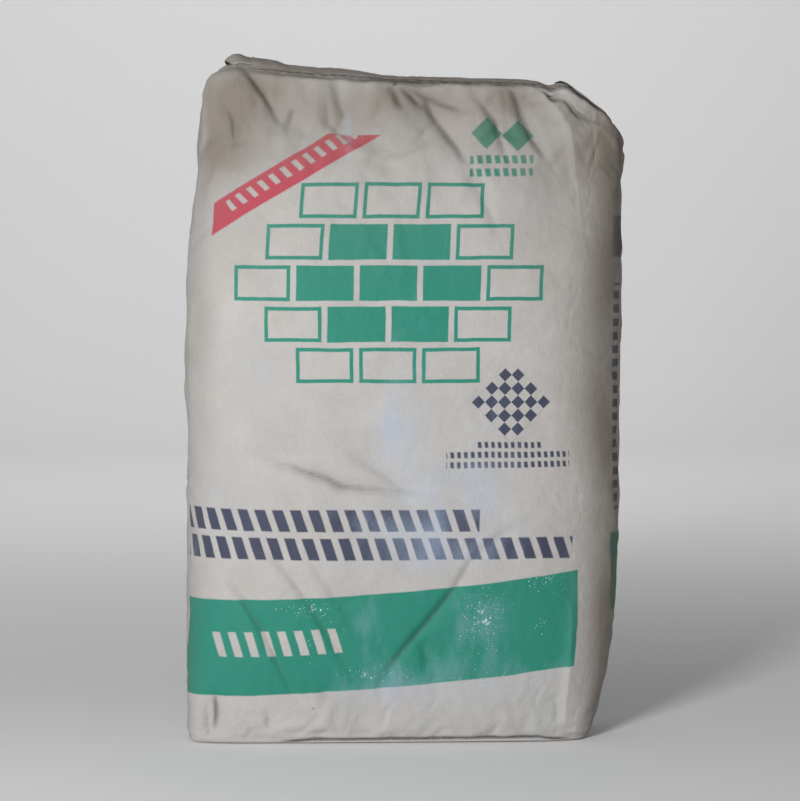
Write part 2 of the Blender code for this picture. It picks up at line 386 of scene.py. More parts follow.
def front_folds(x, z, facing):
    """Heights of the photo's folds on the front, and how strongly each place is creased."""
    height = np.zeros(x.shape)
    crease = np.zeros(x.shape)
    for points, depth, width in FRONT_FOLDS:
        low = np.min(points, axis=0) - 12 * width
        high = np.max(points, axis=0) + 12 * width
        near = (x > low[0]) & (x < high[0]) & (z > low[1]) & (z < high[1]) & (facing > 0)
        distance, share = along_line(x[near], z[near], points)
        deeper = 1 + TOP_FOLD_GAIN * smooth_step(0.50, 0.54, z[near])
        height[near] += fold_height(distance, share, depth, width) * facing[near] * deeper
        line = hill(distance, 0.0, FOLD_LINE_WIDTH) * np.sin(math.pi * share) ** 0.5
        sharpness = FOLD_LINE_STRENGTH * min(1.0, max(depth, 0.0) / DARK_FOLD_DEPTH)
        sharpness *= min(1.0, (DARK_FOLD_WIDTH / width) ** 2)
        crease[near] = np.maximum(crease[near], line * sharpness)
    return height, crease


# Pinches with painted shadow in them, one under the top's folded edge and one near the foot: X, Z,
# how wide, how high and how dark.
PINCHES = (
    (-0.0105, 0.6060, 0.0024, 0.0018, 1.0),
    (-0.0860, 0.0345, 0.0012, 0.0012, 0.9),
)

# The notch and the peak where the top's right corner folds over: X, how wide and how high.
CORNER_SHAPES = ((0.1325, 0.0060, -0.0030), (0.1475, 0.0090, 0.0024))

# How wide the line of soot and painted shade along a pleat or a small fold is.
CREASE_WIDTH = 0.0024

# Pleats that run down from the top's folded edge and open out: how many, their shortest and
# longest length and their deepest, how far they may lean, as a share of their length, their width
# at the edge and how much they widen, how far each side reaches, in widths, and the depth from which
# the soot and painted shade along one are full.
RIM_PLEATS = 64
RIM_PLEAT_LENGTHS = (0.018, 0.095)
RIM_PLEAT_DEPTH = 0.0030
RIM_PLEAT_LEAN = 0.75
RIM_PLEAT_WIDTHS = (0.0020, 0.0040)
RIM_PLEAT_REACHES = (2.6, 0.9)
DARK_PLEAT_DEPTH = 0.0024


def rim_pleats(around, drop):
    """Heights and creases of the seeded pleats, at a distance below the top's folded edge."""
    draw = np.random.default_rng(SEED + 1)
    height = np.zeros(around.shape)
    crease = np.zeros(around.shape)
    for k in range(RIM_PLEATS):
        start = (k + draw.uniform(0.0, 1.0)) / RIM_PLEATS - 0.5
        length = draw.uniform(*RIM_PLEAT_LENGTHS) * draw.uniform(0.5, 1.0)
        depth = RIM_PLEAT_DEPTH * draw.uniform(0.3, 1.0)
        lean = draw.uniform(-RIM_PLEAT_LEAN, RIM_PLEAT_LEAN)
        off = (around - start - lean * drop + 0.5) % 1.0 - 0.5
        near = (abs(off) < 0.05) & (drop < length)
        share = np.clip(drop[near] / length, 0, 1)
        width = RIM_PLEAT_WIDTHS[0] + RIM_PLEAT_WIDTHS[1] * share
        side = off[near] * draw.choice((-1.0, 1.0))
        reach = np.where(side > 0, RIM_PLEAT_REACHES[0] * width, RIM_PLEAT_REACHES[1] * width)
        fade = (1 - share) ** 0.8 * (0.55 + 0.45 * smooth_step(0.0, 0.12, share))
        valley = np.exp(-abs(side) / reach) - 0.45 * hill(side, 3.2 * width, 2.2 * width)
        height[near] -= depth * fade * valley
        line = hill(side, 0.0, CREASE_WIDTH) * fade * min(1.0, depth / DARK_PLEAT_DEPTH)
        crease[near] = np.maximum(crease[near], 0.6 * line)
    return height, crease


# Small folds strewn over the paper: how many, their lowest and highest place up the sack, their
# longest length, their depth and how far they may turn from upright, in radians. Then their
# narrowest and widest, how far they may bend and the depth from which the soot and painted shade
# along their line are full.
STREWN_FOLDS = (
    (60, 0.530, 0.600, 0.050, 0.0016, 1.0),
    (70, 0.006, 0.060, 0.035, 0.0013, 0.7),
    (60, 0.080, 0.560, 0.090, 0.0013, 3.1),
    (50, 0.440, 0.590, 0.080, 0.0016, 1.3),
)
STREWN_WIDTHS = (0.0022, 0.0048)
STREWN_BEND = 0.25
DARK_STREWN_DEPTH = 0.0014


def strewn_folds(around, z, unrest):
    """Heights and creases of the small seeded folds, as strong as the unrest of the paper there."""
    draw = np.random.default_rng(SEED)
    height = np.zeros(around.shape)
    crease = np.zeros(around.shape)
    for count, low, high, longest, depth, turn in STREWN_FOLDS:
        for _ in range(count):
            middle = draw.uniform(-0.5, 0.5)
            level = draw.uniform(low, high)
            angle = draw.uniform(-turn, turn)
            half = longest * draw.uniform(0.25, 0.6)
            size = depth * draw.uniform(0.4, 1.0) * draw.choice((-1.0, 1.0))
            width = draw.uniform(*STREWN_WIDTHS)
            bend = draw.uniform(-STREWN_BEND, STREWN_BEND)
            dx = (around - middle + 0.5) % 1.0 - 0.5
            dz = z - level
            near = (abs(dx) < half + 6 * width) & (abs(dz) < half + 6 * width)
            dx, dz = dx[near], dz[near]
            run = dx * math.sin(angle) + dz * math.cos(angle)
            off = dx * math.cos(angle) - dz * math.sin(angle) - bend * run * run / half
            share = np.clip(run / half * 0.5 + 0.5, 0, 1)
            fade = np.sin(math.pi * share) * unrest[near]
            valley = np.exp(-abs(off) / width) - 0.5 * hill(off, 1.8 * width, 1.5 * width)
            height[near] -= size * fade * valley
            line = hill(off, 0.0, CREASE_WIDTH) * fade * min(1.0, abs(size) / DARK_STREWN_DEPTH)
            crease[near] = np.maximum(crease[near], 0.45 * line)
    return height, crease


def cloud(places, scale, offset=0.0, stretch=(1.0, 1.0, 1.0)):
    """Smooth noise from -1 to 1 at each place, with features of about the stated size."""
    points = places / scale * np.array(stretch) + offset
    return np.array([noise.noise(Vector(p)) for p in points.tolist()])


# Unevenness of the filled sack: its height, the size of its features and its place in the noise.
SWELLS = ((0.0018, 0.160, 0.0), (0.0015, 0.075, 7.0))
FINE_SWELL = (0.0009, 0.036, 17.0)

# Crumpled paper: the same three values, and how far its features are squeezed along the height.
CRUMPLES = ((0.0016, 0.060, 3.0, 0.55), (0.0009, 0.028, 11.0, 0.60))

# The line up the middle of each narrow side, which gets painted shade: its place as a share of the
# way round from the front's middle, its width and how far it stands out. The line of painted shade
# and shadow along the top's folded edge: its width.
SIDE_MIDDLE = 0.25
SIDE_LINE_WIDTH = 0.0050
SIDE_LINE_HEIGHT = 0.0012
RIM_LINE_WIDTH = 0.0026


def even_out(wall):
    """Averages each place of a wall grid a little with its neighbours, in the grid itself."""
    wall[:] = (2 * wall + np.roll(wall, 1, axis=1) + np.roll(wall, -1, axis=1)) / 4
    wall[1:-1] = (2 * wall[1:-1] + wall[:-2] + wall[2:]) / 4


def displaced(places, normals, flat, rim, rows):
    """The sack's creased places, and how creased, how much painted crevice shadow and how loose each is."""
    x, _, z = places.T
    facing = smooth_step(0.25, 0.75, -normals[:, 1])
    sides = smooth_step(0.6, 0.95, abs(normals[:, 0]))
    wall = smooth_step(0.9, 0.5, abs(normals[:, 2]))
    near_top = smooth_step(0.46, 0.585, z)
    near_foot = smooth_step(0.06, 0.01, z)
    unrest = 1 - 0.55 * facing * (1 - np.maximum(near_top, near_foot))
    on_floor = smooth_step(0.004, 0.012, z)

    folds, crease = front_folds(x, z, facing)
    strewn, strewn_crease = strewn_folds(flat[:, 0], z, unrest * wall)
    pleats, pleat_crease = rim_pleats(flat[:, 0], np.maximum(rim - z, 0.0))
    for values in (folds, crease):
        even_out(wall_of(values, rows))
    broad = sum(size * cloud(places, scale, start) for size, scale, start in SWELLS)
    size, scale, start = FINE_SWELL
    broad += size * cloud(places, scale, start) * (0.35 + 0.65 * near_top)
    crumple = 0
    for size, scale, start, squeeze in CRUMPLES:
        crumple = crumple + size * (1 - 2 * abs(cloud(places, scale, start, (1.0, 1.0, squeeze))))
    crumple *= 0.12 + 0.88 * np.maximum(np.maximum(near_top, 0.6 * near_foot), 0.35 * sides)
    side_line = hill(abs(flat[:, 0]), SIDE_MIDDLE, SIDE_LINE_WIDTH) * wall
    foot, foot_crease = foot_fold(x, z, smooth_step(-0.045, -0.052, places[:, 1]))
    off_front = 1 - 0.6 * facing
    height = broad + crumple + folds + strewn + pleats * off_front + SIDE_LINE_HEIGHT * side_line
    height *= on_floor * (0.40 + 0.60 * wall)
    moved = places + normals * height[:, None]
    moved[:, 1] -= foot
    moved[:, 2] = np.maximum(moved[:, 2], BOTTOM_LEVEL)
    crease = np.maximum(np.maximum(crease, strewn_crease), pleat_crease * off_front * wall)
    crease = np.maximum(crease, 0.45 * side_line) * on_floor
    rim_edge = hill(rim, z, RIM_LINE_WIDTH) * np.clip(0.65 + 0.9 * cloud(places, 0.022, 29.0), 0, 1)
    rim_edge *= smooth_step(-0.160, -0.115, x)
    crease = np.maximum(crease, 0.7 * rim_edge)
    # Painted shadow in the foot's crease, along the top's folded edge over the front and in the pinches.
    deep = np.maximum(foot_crease, 0.8 * rim_edge * smooth_step(0.20, -0.02, abs(flat[:, 0])))
    deep = np.maximum(deep, patches(PINCHES, x, z) * facing)
    corner = sum(high * hill(x, middle, wide) for middle, wide, high in CORNER_SHAPES)
    moved[:, 2] += corner * smooth_step(0.570, 0.600, z)
    looseness = wall * np.maximum(np.maximum(near_top, 0.5 * near_foot), 0.35 * sides)
    looseness = np.clip(looseness + 0.05 + 0.20 * cloud(places, 0.10, 41.0), 0, 1)
    return moved, np.clip(crease, 0, 1), np.clip(deep, 0, 1), looseness


# The paper buckles in a cloth simulation on every second row and column of the fine grid. It is
# longer than its way round by a share of extra paper. Cement holds it fully up to the foot's level,
# and elsewhere as firmly as the next two values say, from the tightest paper to the loosest.
COARSE = 2
EXTRA_PAPER = 0.028
SETTLE_FRAMES = 16
FURTHEST_MOVE = 0.007
FOOT_HOLD = 0.004
TIGHT_HOLD = 0.97
LOOSE_HOLD = 0.10
PAPER_CLOTH = {
    "quality": 4,
    "mass": 0.1,
    "air_damping": 2.0,
    "tension_stiffness": 60.0,
    "compression_stiffness": 60.0,
    "shear_stiffness": 40.0,
    "bending_stiffness": 5.0,
    "tension_damping": 8.0,
    "compression_damping": 8.0,
    "shear_damping": 8.0,
    "bending_damping": 1.0,
    "vertex_group_mass": "hold",
    "pin_stiffness": 1.0,
    "shrink_min": -EXTRA_PAPER,
}


def coarse_part(places, rows):
    """Every second place of the wall and of both end faces, in the order of sack_faces."""
    wall = wall_of(places, rows)[::COARSE, ::COARSE]
    inner = (LONG_STEPS - 1) * (SHORT_STEPS - 1)
    parts = [wall.reshape(-1, 3)]
    for k in range(2):
        start = rows * COLUMNS + k * inner
        cap = places[start:start + inner].reshape(LONG_STEPS - 1, SHORT_STEPS - 1, 3)
        parts.append(cap[COARSE - 1::COARSE, COARSE - 1::COARSE].reshape(-1, 3))
    return np.concatenate(parts)


def finer(values, axis, closed):
    """Doubles the steps of a grid along one axis, on a smooth curve through its values."""
    values = np.moveaxis(values, axis, 0)
    if closed:
        before, after, second = (np.roll(values, shift, axis=0) for shift in (1, -1, -2))
        between = (9 * (values + after) - before - second) / 16
        both = np.stack((values, between), axis=1).reshape(-1, *values.shape[1:])
    else:
        padded = np.concatenate((values[:1], values, values[-1:]))
        between = (9 * (padded[1:-2] + padded[2:-1]) - padded[:-3] - padded[3:]) / 16
        both = np.zeros((2 * len(values) - 1, *values.shape[1:]))
        both[::2], both[1::2] = values, between
    return np.moveaxis(both, 0, axis)


def hold_weights(places, looseness):
    """How firmly the cement holds each place: fully under the sack, least where the paper is loose."""
    firm = TIGHT_HOLD - (TIGHT_HOLD - LOOSE_HOLD) * np.sqrt(looseness)
    firm = np.where(places[:, 2] < BOTTOM_LEVEL + FOOT_HOLD, 1.0, firm)
    return np.clip(firm, 0.05, 1.0)


def buckled(start, rows, looseness):
    """Moves of every place after the paper, a little longer than its way round, has buckled."""
    along, across = LONG_STEPS // COARSE, SHORT_STEPS // COARSE
    coarse_rows = (rows - 1) // COARSE + 1
    faces, grids = sack_faces(coarse_rows, along, across)
    coarse = coarse_part(start, rows)
    loose = coarse_part(np.repeat(looseness[:, None], 3, axis=1), rows)[:, 0]
    data = make_mesh("loose_paper", coarse, faces)
    item = link_new("loose_paper", data)
    group = item.vertex_groups.new(name="hold")
    for index, weight in enumerate(hold_weights(coarse, loose).tolist()):
        group.add([index], weight, "REPLACE")
    cloth = item.modifiers.new("paper", "CLOTH")
    for name, value in PAPER_CLOTH.items():
        setattr(cloth.settings, name, value)
    cloth.settings.effector_weights.gravity = 0.0
    cloth.collision_settings.use_collision = False
    cloth.point_cache.frame_start, cloth.point_cache.frame_end = 1, SETTLE_FRAMES
    for step in range(1, SETTLE_FRAMES + 1):
        bpy.context.scene.frame_set(step)
    settled = item.evaluated_get(bpy.context.evaluated_depsgraph_get()).data
    places = np.zeros(len(coarse) * 3)
    settled.vertices.foreach_get("co", places)
    moves = places.reshape(-1, 3) - coarse
    bpy.context.scene.frame_set(1)
    bpy.data.objects.remove(item)
    bpy.data.meshes.remove(data)
    length = np.linalg.norm(moves, axis=1)[:, None]
    moves *= FURTHEST_MOVE * np.tanh(length / FURTHEST_MOVE) / np.maximum(length, 1e-9)
    wall = moves[:coarse_rows * 2 * (along + across)].reshape(coarse_rows, -1, 3)
    even_out(wall)
    parts = [finer(finer(wall, 1, True), 0, False).reshape(-1, 3)]
    for grid in grids:
        cap = finer(finer(moves[grid], 0, False), 1, False)
        parts.append(cap[1:-1, 1:-1].reshape(-1, 3))
    return np.concatenate(parts)


def make_mesh(name, places, faces):
    data = bpy.data.meshes.new(name)
    data.from_pydata(places.tolist(), [], faces.tolist())
    data.update()
    return data


def vertex_normals(data):
    normals = np.zeros(len(data.vertices) * 3)
    data.vertex_normals.foreach_get("vector", normals)
    return normals.reshape(-1, 3)


def set_places(data, places):
    data.vertices.foreach_set("co", places.ravel())
    data.update()


def set_paper_map(data, flat):
    """UV map in metres: round the tube from the front's middle, and up the paper."""
    corners = np.zeros(len(data.loops), dtype=int)
    data.loops.foreach_get("vertex_index", corners)
    spots = flat[corners].reshape(-1, 4, 2)
    wraps = np.ptp(spots[:, :, 0], axis=1) > 0.5
    spots[wraps, :, 0] = np.where(spots[wraps, :, 0] < 0, spots[wraps, :, 0] + 1, spots[wraps, :, 0])
    layer = data.uv_layers.new(name="paper")
    layer.uv.foreach_set("vector", spots.ravel())


def set_share(data, name, values):
    layer = data.attributes.new(name, "FLOAT", "POINT")
    layer.data.foreach_set("value", np.asarray(values, dtype=np.float32))


def link_new(name, data):
    item = bpy.data.objects.new(name, data)
    bpy.context.scene.collection.objects.link(item)
    return item


def add_object(name, data, material):
    data.materials.clear()
    data.materials.append(material)
    data.shade_smooth()
    return link_new(name, data)


def thicken(item, thickness, offset=1.0):
    solid = item.modifiers.new("sheet", "SOLIDIFY")
    solid.thickness = thickness
    solid.offset = offset


def add_sheet(name, places, thickness, material, **shares):
    """A thin sheet on a grid of places, with its named shares stored at them."""
    index = np.arange(places[..., 0].size).reshape(places.shape[:2])
    data = make_mesh(name, places.reshape(-1, 3), grid_quads(index))
    for share, values in shares.items():
        set_share(data, share, values.ravel())
    item = add_object(name, data, material)
    thicken(item, thickness)
    return item


class Graph:
    """Adds nodes to one material and links them."""

    def __init__(self, name):
        self.material = bpy.data.materials.new(name)
        self.material.use_nodes = True
        self.tree = self.material.node_tree
        self.shader = self.tree.nodes["Principled BSDF"]

    def node(self, kind, **settings):
        made = self.tree.nodes.new(kind)
        for key, value in settings.items():
            setattr(made, key, value)
        return made

    def feed(self, socket, value):
        if isinstance(value, bpy.types.NodeSocket):
            self.tree.links.new(value, socket)
        else:
            socket.default_value = value

    def math(self, operation, *values, clamp=False):
        made = self.node("ShaderNodeMath", operation=operation, use_clamp=clamp)
        for socket, value in zip(made.inputs, values):
            self.feed(socket, value)
        return made.outputs[0]

    def vector(self, operation, *values):
        made = self.node("ShaderNodeVectorMath", operation=operation)
        for socket, value in zip(made.inputs, values):
            self.feed(socket, value)
        return made.outputs[0]

    def remap(self, value, low, high, to_low=0.0, to_high=1.0):
        made = self.node("ShaderNodeMapRange", clamp=True)
        for socket, given in zip(made.inputs, (value, low, high, to_low, to_high)):
            self.feed(socket, given)
        return made.outputs[0]

    def mix(self, share, low, high):
        made = self.node("ShaderNodeMix", data_type="RGBA")
        self.feed(made.inputs["Factor"], share)
        colours = [socket for socket in made.inputs if socket.type == "RGBA"]
        self.feed(colours[0], low)
        self.feed(colours[1], high)
        return next(socket for socket in made.outputs if socket.type == "RGBA")

    def noise(self, vector, scale, detail, roughness=0.5):
        made = self.node("ShaderNodeTexNoise")
        self.feed(made.inputs["Vector"], vector)
        for name, value in (("Scale", scale), ("Detail", detail), ("Roughness", roughness)):
            made.inputs[name].default_value = value
        return made.outputs["Fac"]

    def attribute(self, name):
        return self.node("ShaderNodeAttribute", attribute_name=name).outputs["Fac"]

    def split(self, vector):
        made = self.node("ShaderNodeSeparateXYZ")
        self.feed(made.inputs[0], vector)
        return made.outputs[0], made.outputs[1]

    def spot(self, x, y):
        made = self.node("ShaderNodeCombineXYZ")
        self.feed(made.inputs[0], x)
        self.feed(made.inputs[1], y)
        return made.outputs[0]

    def place(self):
        return self.node("ShaderNodeTexCoord").outputs["Object"]

    def stretched(self, vector, scale):
        made = self.node("ShaderNodeMapping")
        self.feed(made.inputs["Vector"], vector)
        made.inputs["Scale"].default_value = scale
        return made.outputs["Vector"]

    def bump(self, height, distance, strength, normal=None):
        made = self.node("ShaderNodeBump")
        made.inputs["Strength"].default_value = strength
        made.inputs["Distance"].default_value = distance
        self.feed(made.inputs["Height"], height)
        if normal:
            self.feed(made.inputs["Normal"], normal)
        return made.outputs["Normal"]

    def paint(self, colour, roughness, normal=None, gloss=0.5):
        self.feed(self.shader.inputs["Base Color"], colour)
        self.feed(self.shader.inputs["Roughness"], roughness)
        self.shader.inputs["Specular IOR Level"].default_value = gloss
        if normal:
            self.feed(self.shader.inputs["Normal"], normal)


# Colours, in linear light.
KRAFT_PALE = (0.480, 0.464, 0.450, 1.0)
KRAFT_DEEP = (0.370, 0.350, 0.330, 1.0)
KRAFT_COOL = (0.40, 0.405, 0.415, 1.0)
COVER_PALE = (0.36, 0.320, 0.285, 1.0)
COVER_DEEP = (0.27, 0.232, 0.198, 1.0)
FIBRE = (0.58, 0.56, 0.53, 1.0)
GREEN = (0.018, 0.210, 0.150, 1.0)
RED = (0.44, 0.050, 0.085, 1.0)
NAVY = (0.048, 0.055, 0.092, 1.0)
DUST = (0.36, 0.45, 0.60, 1.0)
FLECK = (0.74, 0.80, 0.83, 1.0)
# The last three paint shade: old dirt together with painted shade, soot together with painted shade along
# creases, and painted shadow in crevices, pinches and paper edges.
DIRT_AND_SHADE = (0.165, 0.138, 0.110, 1.0)
SOOT_AND_CREASE_SHADE = (0.062, 0.052, 0.046, 1.0)
CREVICE_SHADE = (0.045, 0.034, 0.031, 1.0)

# How much of the paper each of these hides at its strongest, and how shiny the paper is.
DIRT_AND_SHADE_COVER = 0.84
SOOT_AND_CREASE_SHADE_COVER = 0.50
CREVICE_SHADE_COVER = 0.85
DUST_COVER = 0.62
FLECK_COVER = 0.8
BLOTCH_COVER = 0.6
PAPER_GLOSS = 0.3

# Half the width of the soft edge of a printed shape.
INK_EDGE = 0.0006


def box_mask(graph, spot, centre, half, angle=0.0):
    """1 inside a turned box on the paper, 0 outside, and the spot in the box's own axes."""
    moved = graph.vector("SUBTRACT", spot, (*centre, 0.0))
    turned = graph.node("ShaderNodeVectorRotate", rotation_type="Z_AXIS")
    graph.feed(turned.inputs["Vector"], moved)
    turned.inputs["Angle"].default_value = -angle
    local = turned.outputs[0]
    over = graph.vector("SUBTRACT", graph.vector("ABSOLUTE", local), (*half, 0.0))
    reach = graph.math("MAXIMUM", *graph.split(over))
    return graph.remap(reach, INK_EDGE, -INK_EDGE), local


def hatched_box(graph, spot, centre, half, dash, angle=0.0):
    """Slanted dashes inside a turned box on the paper."""
    mask, local = box_mask(graph, spot, centre, half, angle)
    pitch, filled, slant = dash
    x, y = graph.split(local)
    run = graph.math("MULTIPLY_ADD", y, slant, x)
    place = graph.math("FRACT", graph.math("DIVIDE", run, pitch))
    away = graph.math("ABSOLUTE", graph.math("SUBTRACT", place, 0.5))
    edge = INK_EDGE / pitch
    return graph.math("MULTIPLY", mask, graph.remap(away, filled / 2 + edge, filled / 2 - edge))


def joined(graph, masks):
    total = masks[0]
    for mask in masks[1:]:
        total = graph.math("MAXIMUM", total, mask)
    return total


# The print, in metres from the middle of a wide side and up from the floor.
PRINT_SHIFT = -0.0040
SIDE_PRINT_SHIFT = 0.284
BAND_MIDDLE = (-0.0225, 0.0907)
BAND_HALF = (0.1885, 0.0445)
BAND_RISE = 0.0270
BAND_DASHES = ((-0.114, 0.0940), (0.062, 0.0115))
RIBBON_MIDDLE = (-0.1033, 0.5285)
RIBBON_HALF = (0.110, 0.0126)
RIBBON_ANGLE = math.radians(31.3)
RIBBON_LIMITS = (-0.1790, 0.5600)
RIBBON_DASHES = ((-0.1073, 0.5285), (0.066, 0.0056))
BRICK = (0.0575, 0.0372)
BRICK_MIDDLE = (-0.0135, 0.4255)
BRICK_EDGE = (0.0022, 0.0030)
BRICK_HOLE = (0.0056, 0.0064)
DIAMONDS = ((0.0700, 0.5610), (0.0990, 0.5590))
DIAMOND_HALF = (0.0105, 0.0105)
GREEN_ROWS = ((0.0845, 0.5370), (0.0845, 0.5255))
GREEN_ROW_HALF = (0.029, 0.0036)
CHECK_MIDDLE = (0.0998, 0.3175)
CHECK_HALF = 0.026
CHECK_SQUARE = 0.0087

# Dashes: their pitch, the share of it that is filled and how far they lean.
BAND_DASH = (0.0155, 0.5, 0.35)
RIBBON_DASH = (0.0115, 0.42, 0.3)
GREEN_DASH = (0.0080, 0.6, 0.2)
WIDE_DASH = (0.0166, 0.62, 0.35)
FINE_DASH = (0.0062, 0.55, 0.1)
SIDE_DASH = (0.0125, 0.6, 0.0)

# Navy rows of dashes, as middle and half size: two of wide dashes, three of fine ones.
WIDE_ROWS = (((-0.0698, 0.2095), (0.1410, 0.0100)), ((-0.0255, 0.1835), (0.1855, 0.0100)))
FINE_ROWS = tuple(((0.0985, level), (half, 0.0028)) for level, half in
                  ((0.2785, 0.030), (0.2695, 0.058), (0.2605, 0.058)))

# On each narrow side: a green block, a navy block and a navy column of dashes, as middle and half
# size.
SIDE_GREEN = ((0.0, 0.158), (0.011, 0.036))
SIDE_NAVY = ((0.0, 0.468), (0.011, 0.019))
SIDE_COLUMN = ((0.0, 0.3200), (0.105, 0.0060))


def brick_print(graph, spot):
    """Courses of bricks with stepped ends: solid bricks inside, outlined bricks round them."""
    x, z = graph.split(graph.vector("SUBTRACT", spot, (*BRICK_MIDDLE, 0.0)))
    course = graph.math("FLOOR", graph.math("MULTIPLY_ADD", z, 1 / BRICK[1], 0.5))
    off_middle = graph.math("ABSOLUTE", course)
    across = graph.math("ABSOLUTE", x)
    masks = []
    for bricks, courses in ((5, 2), (3, 1)):
        reach = graph.math("MULTIPLY_ADD", off_middle, -BRICK[0] / 2, bricks * BRICK[0] / 2)
        inside = graph.math("LESS_THAN", across, reach)
        within = graph.math("LESS_THAN", off_middle, courses + 0.5)
        masks.append(graph.math("MULTIPLY", inside, within))
    whole, core = masks
    odd = graph.math("MODULO", off_middle, 2.0)
    shift = graph.math("MULTIPLY_ADD", odd, 0.5, 0.5)
    along = graph.math("FRACT", graph.math("ADD", graph.math("DIVIDE", x, BRICK[0]), shift))
    up = graph.math("FRACT", graph.math("MULTIPLY_ADD", z, 1 / BRICK[1], 0.5))
    inset_x = graph.math("MULTIPLY", graph.math("PINGPONG", along, 0.5), BRICK[0])
    inset_z = graph.math("MULTIPLY", graph.math("PINGPONG", up, 0.5), BRICK[1])
    inset = graph.math("MINIMUM", inset_x, inset_z)
    brick, hole = (graph.remap(inset, *limits) for limits in (BRICK_EDGE, BRICK_HOLE))
    outline = graph.math("SUBTRACT", brick, hole, clamp=True)
    solid = graph.math("MULTIPLY", brick, core)
    ringed = graph.math("MULTIPLY", outline, whole)
    return graph.math("MAXIMUM", solid, ringed)


def ribbon_print(graph, spot):
    """The slanted ribbon, cut off upright at its left and level at its top, with bare dashes."""
    x, z = graph.split(spot)
    mask, _ = box_mask(graph, spot, RIBBON_MIDDLE, RIBBON_HALF, RIBBON_ANGLE)
    left, top = RIBBON_LIMITS
    inside = graph.math("MULTIPLY", graph.remap(x, left - INK_EDGE, left + INK_EDGE),
                        graph.remap(z, top + INK_EDGE, top - INK_EDGE))
    whole = graph.math("MULTIPLY", mask, inside)
    marks = hatched_box(graph, spot, *RIBBON_DASHES, RIBBON_DASH, RIBBON_ANGLE)
    return graph.math("SUBTRACT", whole, marks, clamp=True)


def band_print(graph, spot):
    """The wide band, whose edges rise to the right, with a row of bare dashes in it."""
    x, z = graph.split(spot)
    share = graph.remap(x, BAND_MIDDLE[0] - BAND_HALF[0], BAND_MIDDLE[0] + BAND_HALF[0])
    rise = graph.math("MULTIPLY", graph.math("POWER", share, 2.0), BAND_RISE)
    lowered = graph.spot(x, graph.math("SUBTRACT", z, rise))
    mask, _ = box_mask(graph, lowered, BAND_MIDDLE, BAND_HALF)
    marks = hatched_box(graph, lowered, *BAND_DASHES, BAND_DASH)
    return graph.math("SUBTRACT", mask, marks, clamp=True)


def printed_ink(graph):
    """Masks of the green, red and navy inks."""
    uv = graph.node("ShaderNodeUVMap", uv_map="paper").outputs[0]
    ragged = graph.noise(uv, 900.0, 1.0)
    wavy = graph.noise(uv, 22.0, 2.0)
    waves = graph.math("MULTIPLY_ADD", wavy, 0.0020, -0.00135)
    jitter = graph.math("MULTIPLY_ADD", ragged, 0.0007, waves)
    x, z = graph.split(uv)
    around = graph.math("ADD", graph.math("SUBTRACT", x, PRINT_SHIFT), jitter)
    up = graph.math("ADD", z, jitter)
    shifted = graph.math("ADD", around, SIDE_PRINT_SHIFT)
    wrapped = [graph.math("WRAP", run, SIDE_MIDDLE, -SIDE_MIDDLE) for run in (around, shifted)]
    front, edge = (graph.spot(run, up) for run in wrapped)
    green = [brick_print(graph, front), band_print(graph, front), box_mask(graph, edge, *SIDE_GREEN)[0]]
    green += [box_mask(graph, front, middle, DIAMOND_HALF, math.pi / 4)[0] for middle in DIAMONDS]
    green += [hatched_box(graph, front, middle, GREEN_ROW_HALF, GREEN_DASH) for middle in GREEN_ROWS]
    red = ribbon_print(graph, front)
    corner = (CHECK_HALF, CHECK_HALF)
    check_box, check_local = box_mask(graph, front, CHECK_MIDDLE, corner, math.pi / 4)
    checks = graph.node("ShaderNodeTexChecker")
    graph.feed(checks.inputs["Vector"], graph.vector("ADD", check_local, (*corner, 0.001)))
    checks.inputs["Scale"].default_value = 1 / CHECK_SQUARE
    checked = graph.math("MULTIPLY", check_box, checks.outputs["Fac"])
    navy = [checked, box_mask(graph, edge, *SIDE_NAVY)[0]]
    navy += [hatched_box(graph, front, *row, WIDE_DASH) for row in WIDE_ROWS]
    navy += [hatched_box(graph, front, *row, FINE_DASH) for row in FINE_ROWS]
    navy.append(hatched_box(graph, edge, *SIDE_COLUMN, SIDE_DASH, math.pi / 2))
    return joined(graph, green), red, joined(graph, navy)


def paper_base(graph, pale, deep):
    """Bare kraft paper: its colour with cloudy pulp, cooler patches and fibres, and its height."""
    place = graph.place()
    clouds = graph.noise(place, 26.0, 4.0, 0.6)
    pulp = graph.noise(place, 420.0, 3.0, 0.65)
    fibres = graph.noise(graph.stretched(place, (1.0, 1.0, 0.16)), 1500.0, 2.0, 0.6)
    tone = graph.math("MULTIPLY_ADD", clouds, 0.9, graph.math("MULTIPLY_ADD", pulp, 0.5, -0.45))
    colour = graph.mix(graph.remap(tone, -0.05, 0.60), pale, deep)
    cool = graph.remap(graph.noise(place, 11.0, 3.0, 0.55), 0.48, 0.72, 0.0, 0.55)
    colour = graph.mix(cool, colour, KRAFT_COOL)
    fibre_share = graph.remap(fibres, 0.60, 0.78, 0.0, 0.35)
    colour = graph.mix(fibre_share, colour, FIBRE)
    height = graph.math("MULTIPLY_ADD", pulp, 0.6, graph.math("MULTIPLY", fibres, 0.5))
    return colour, height, place


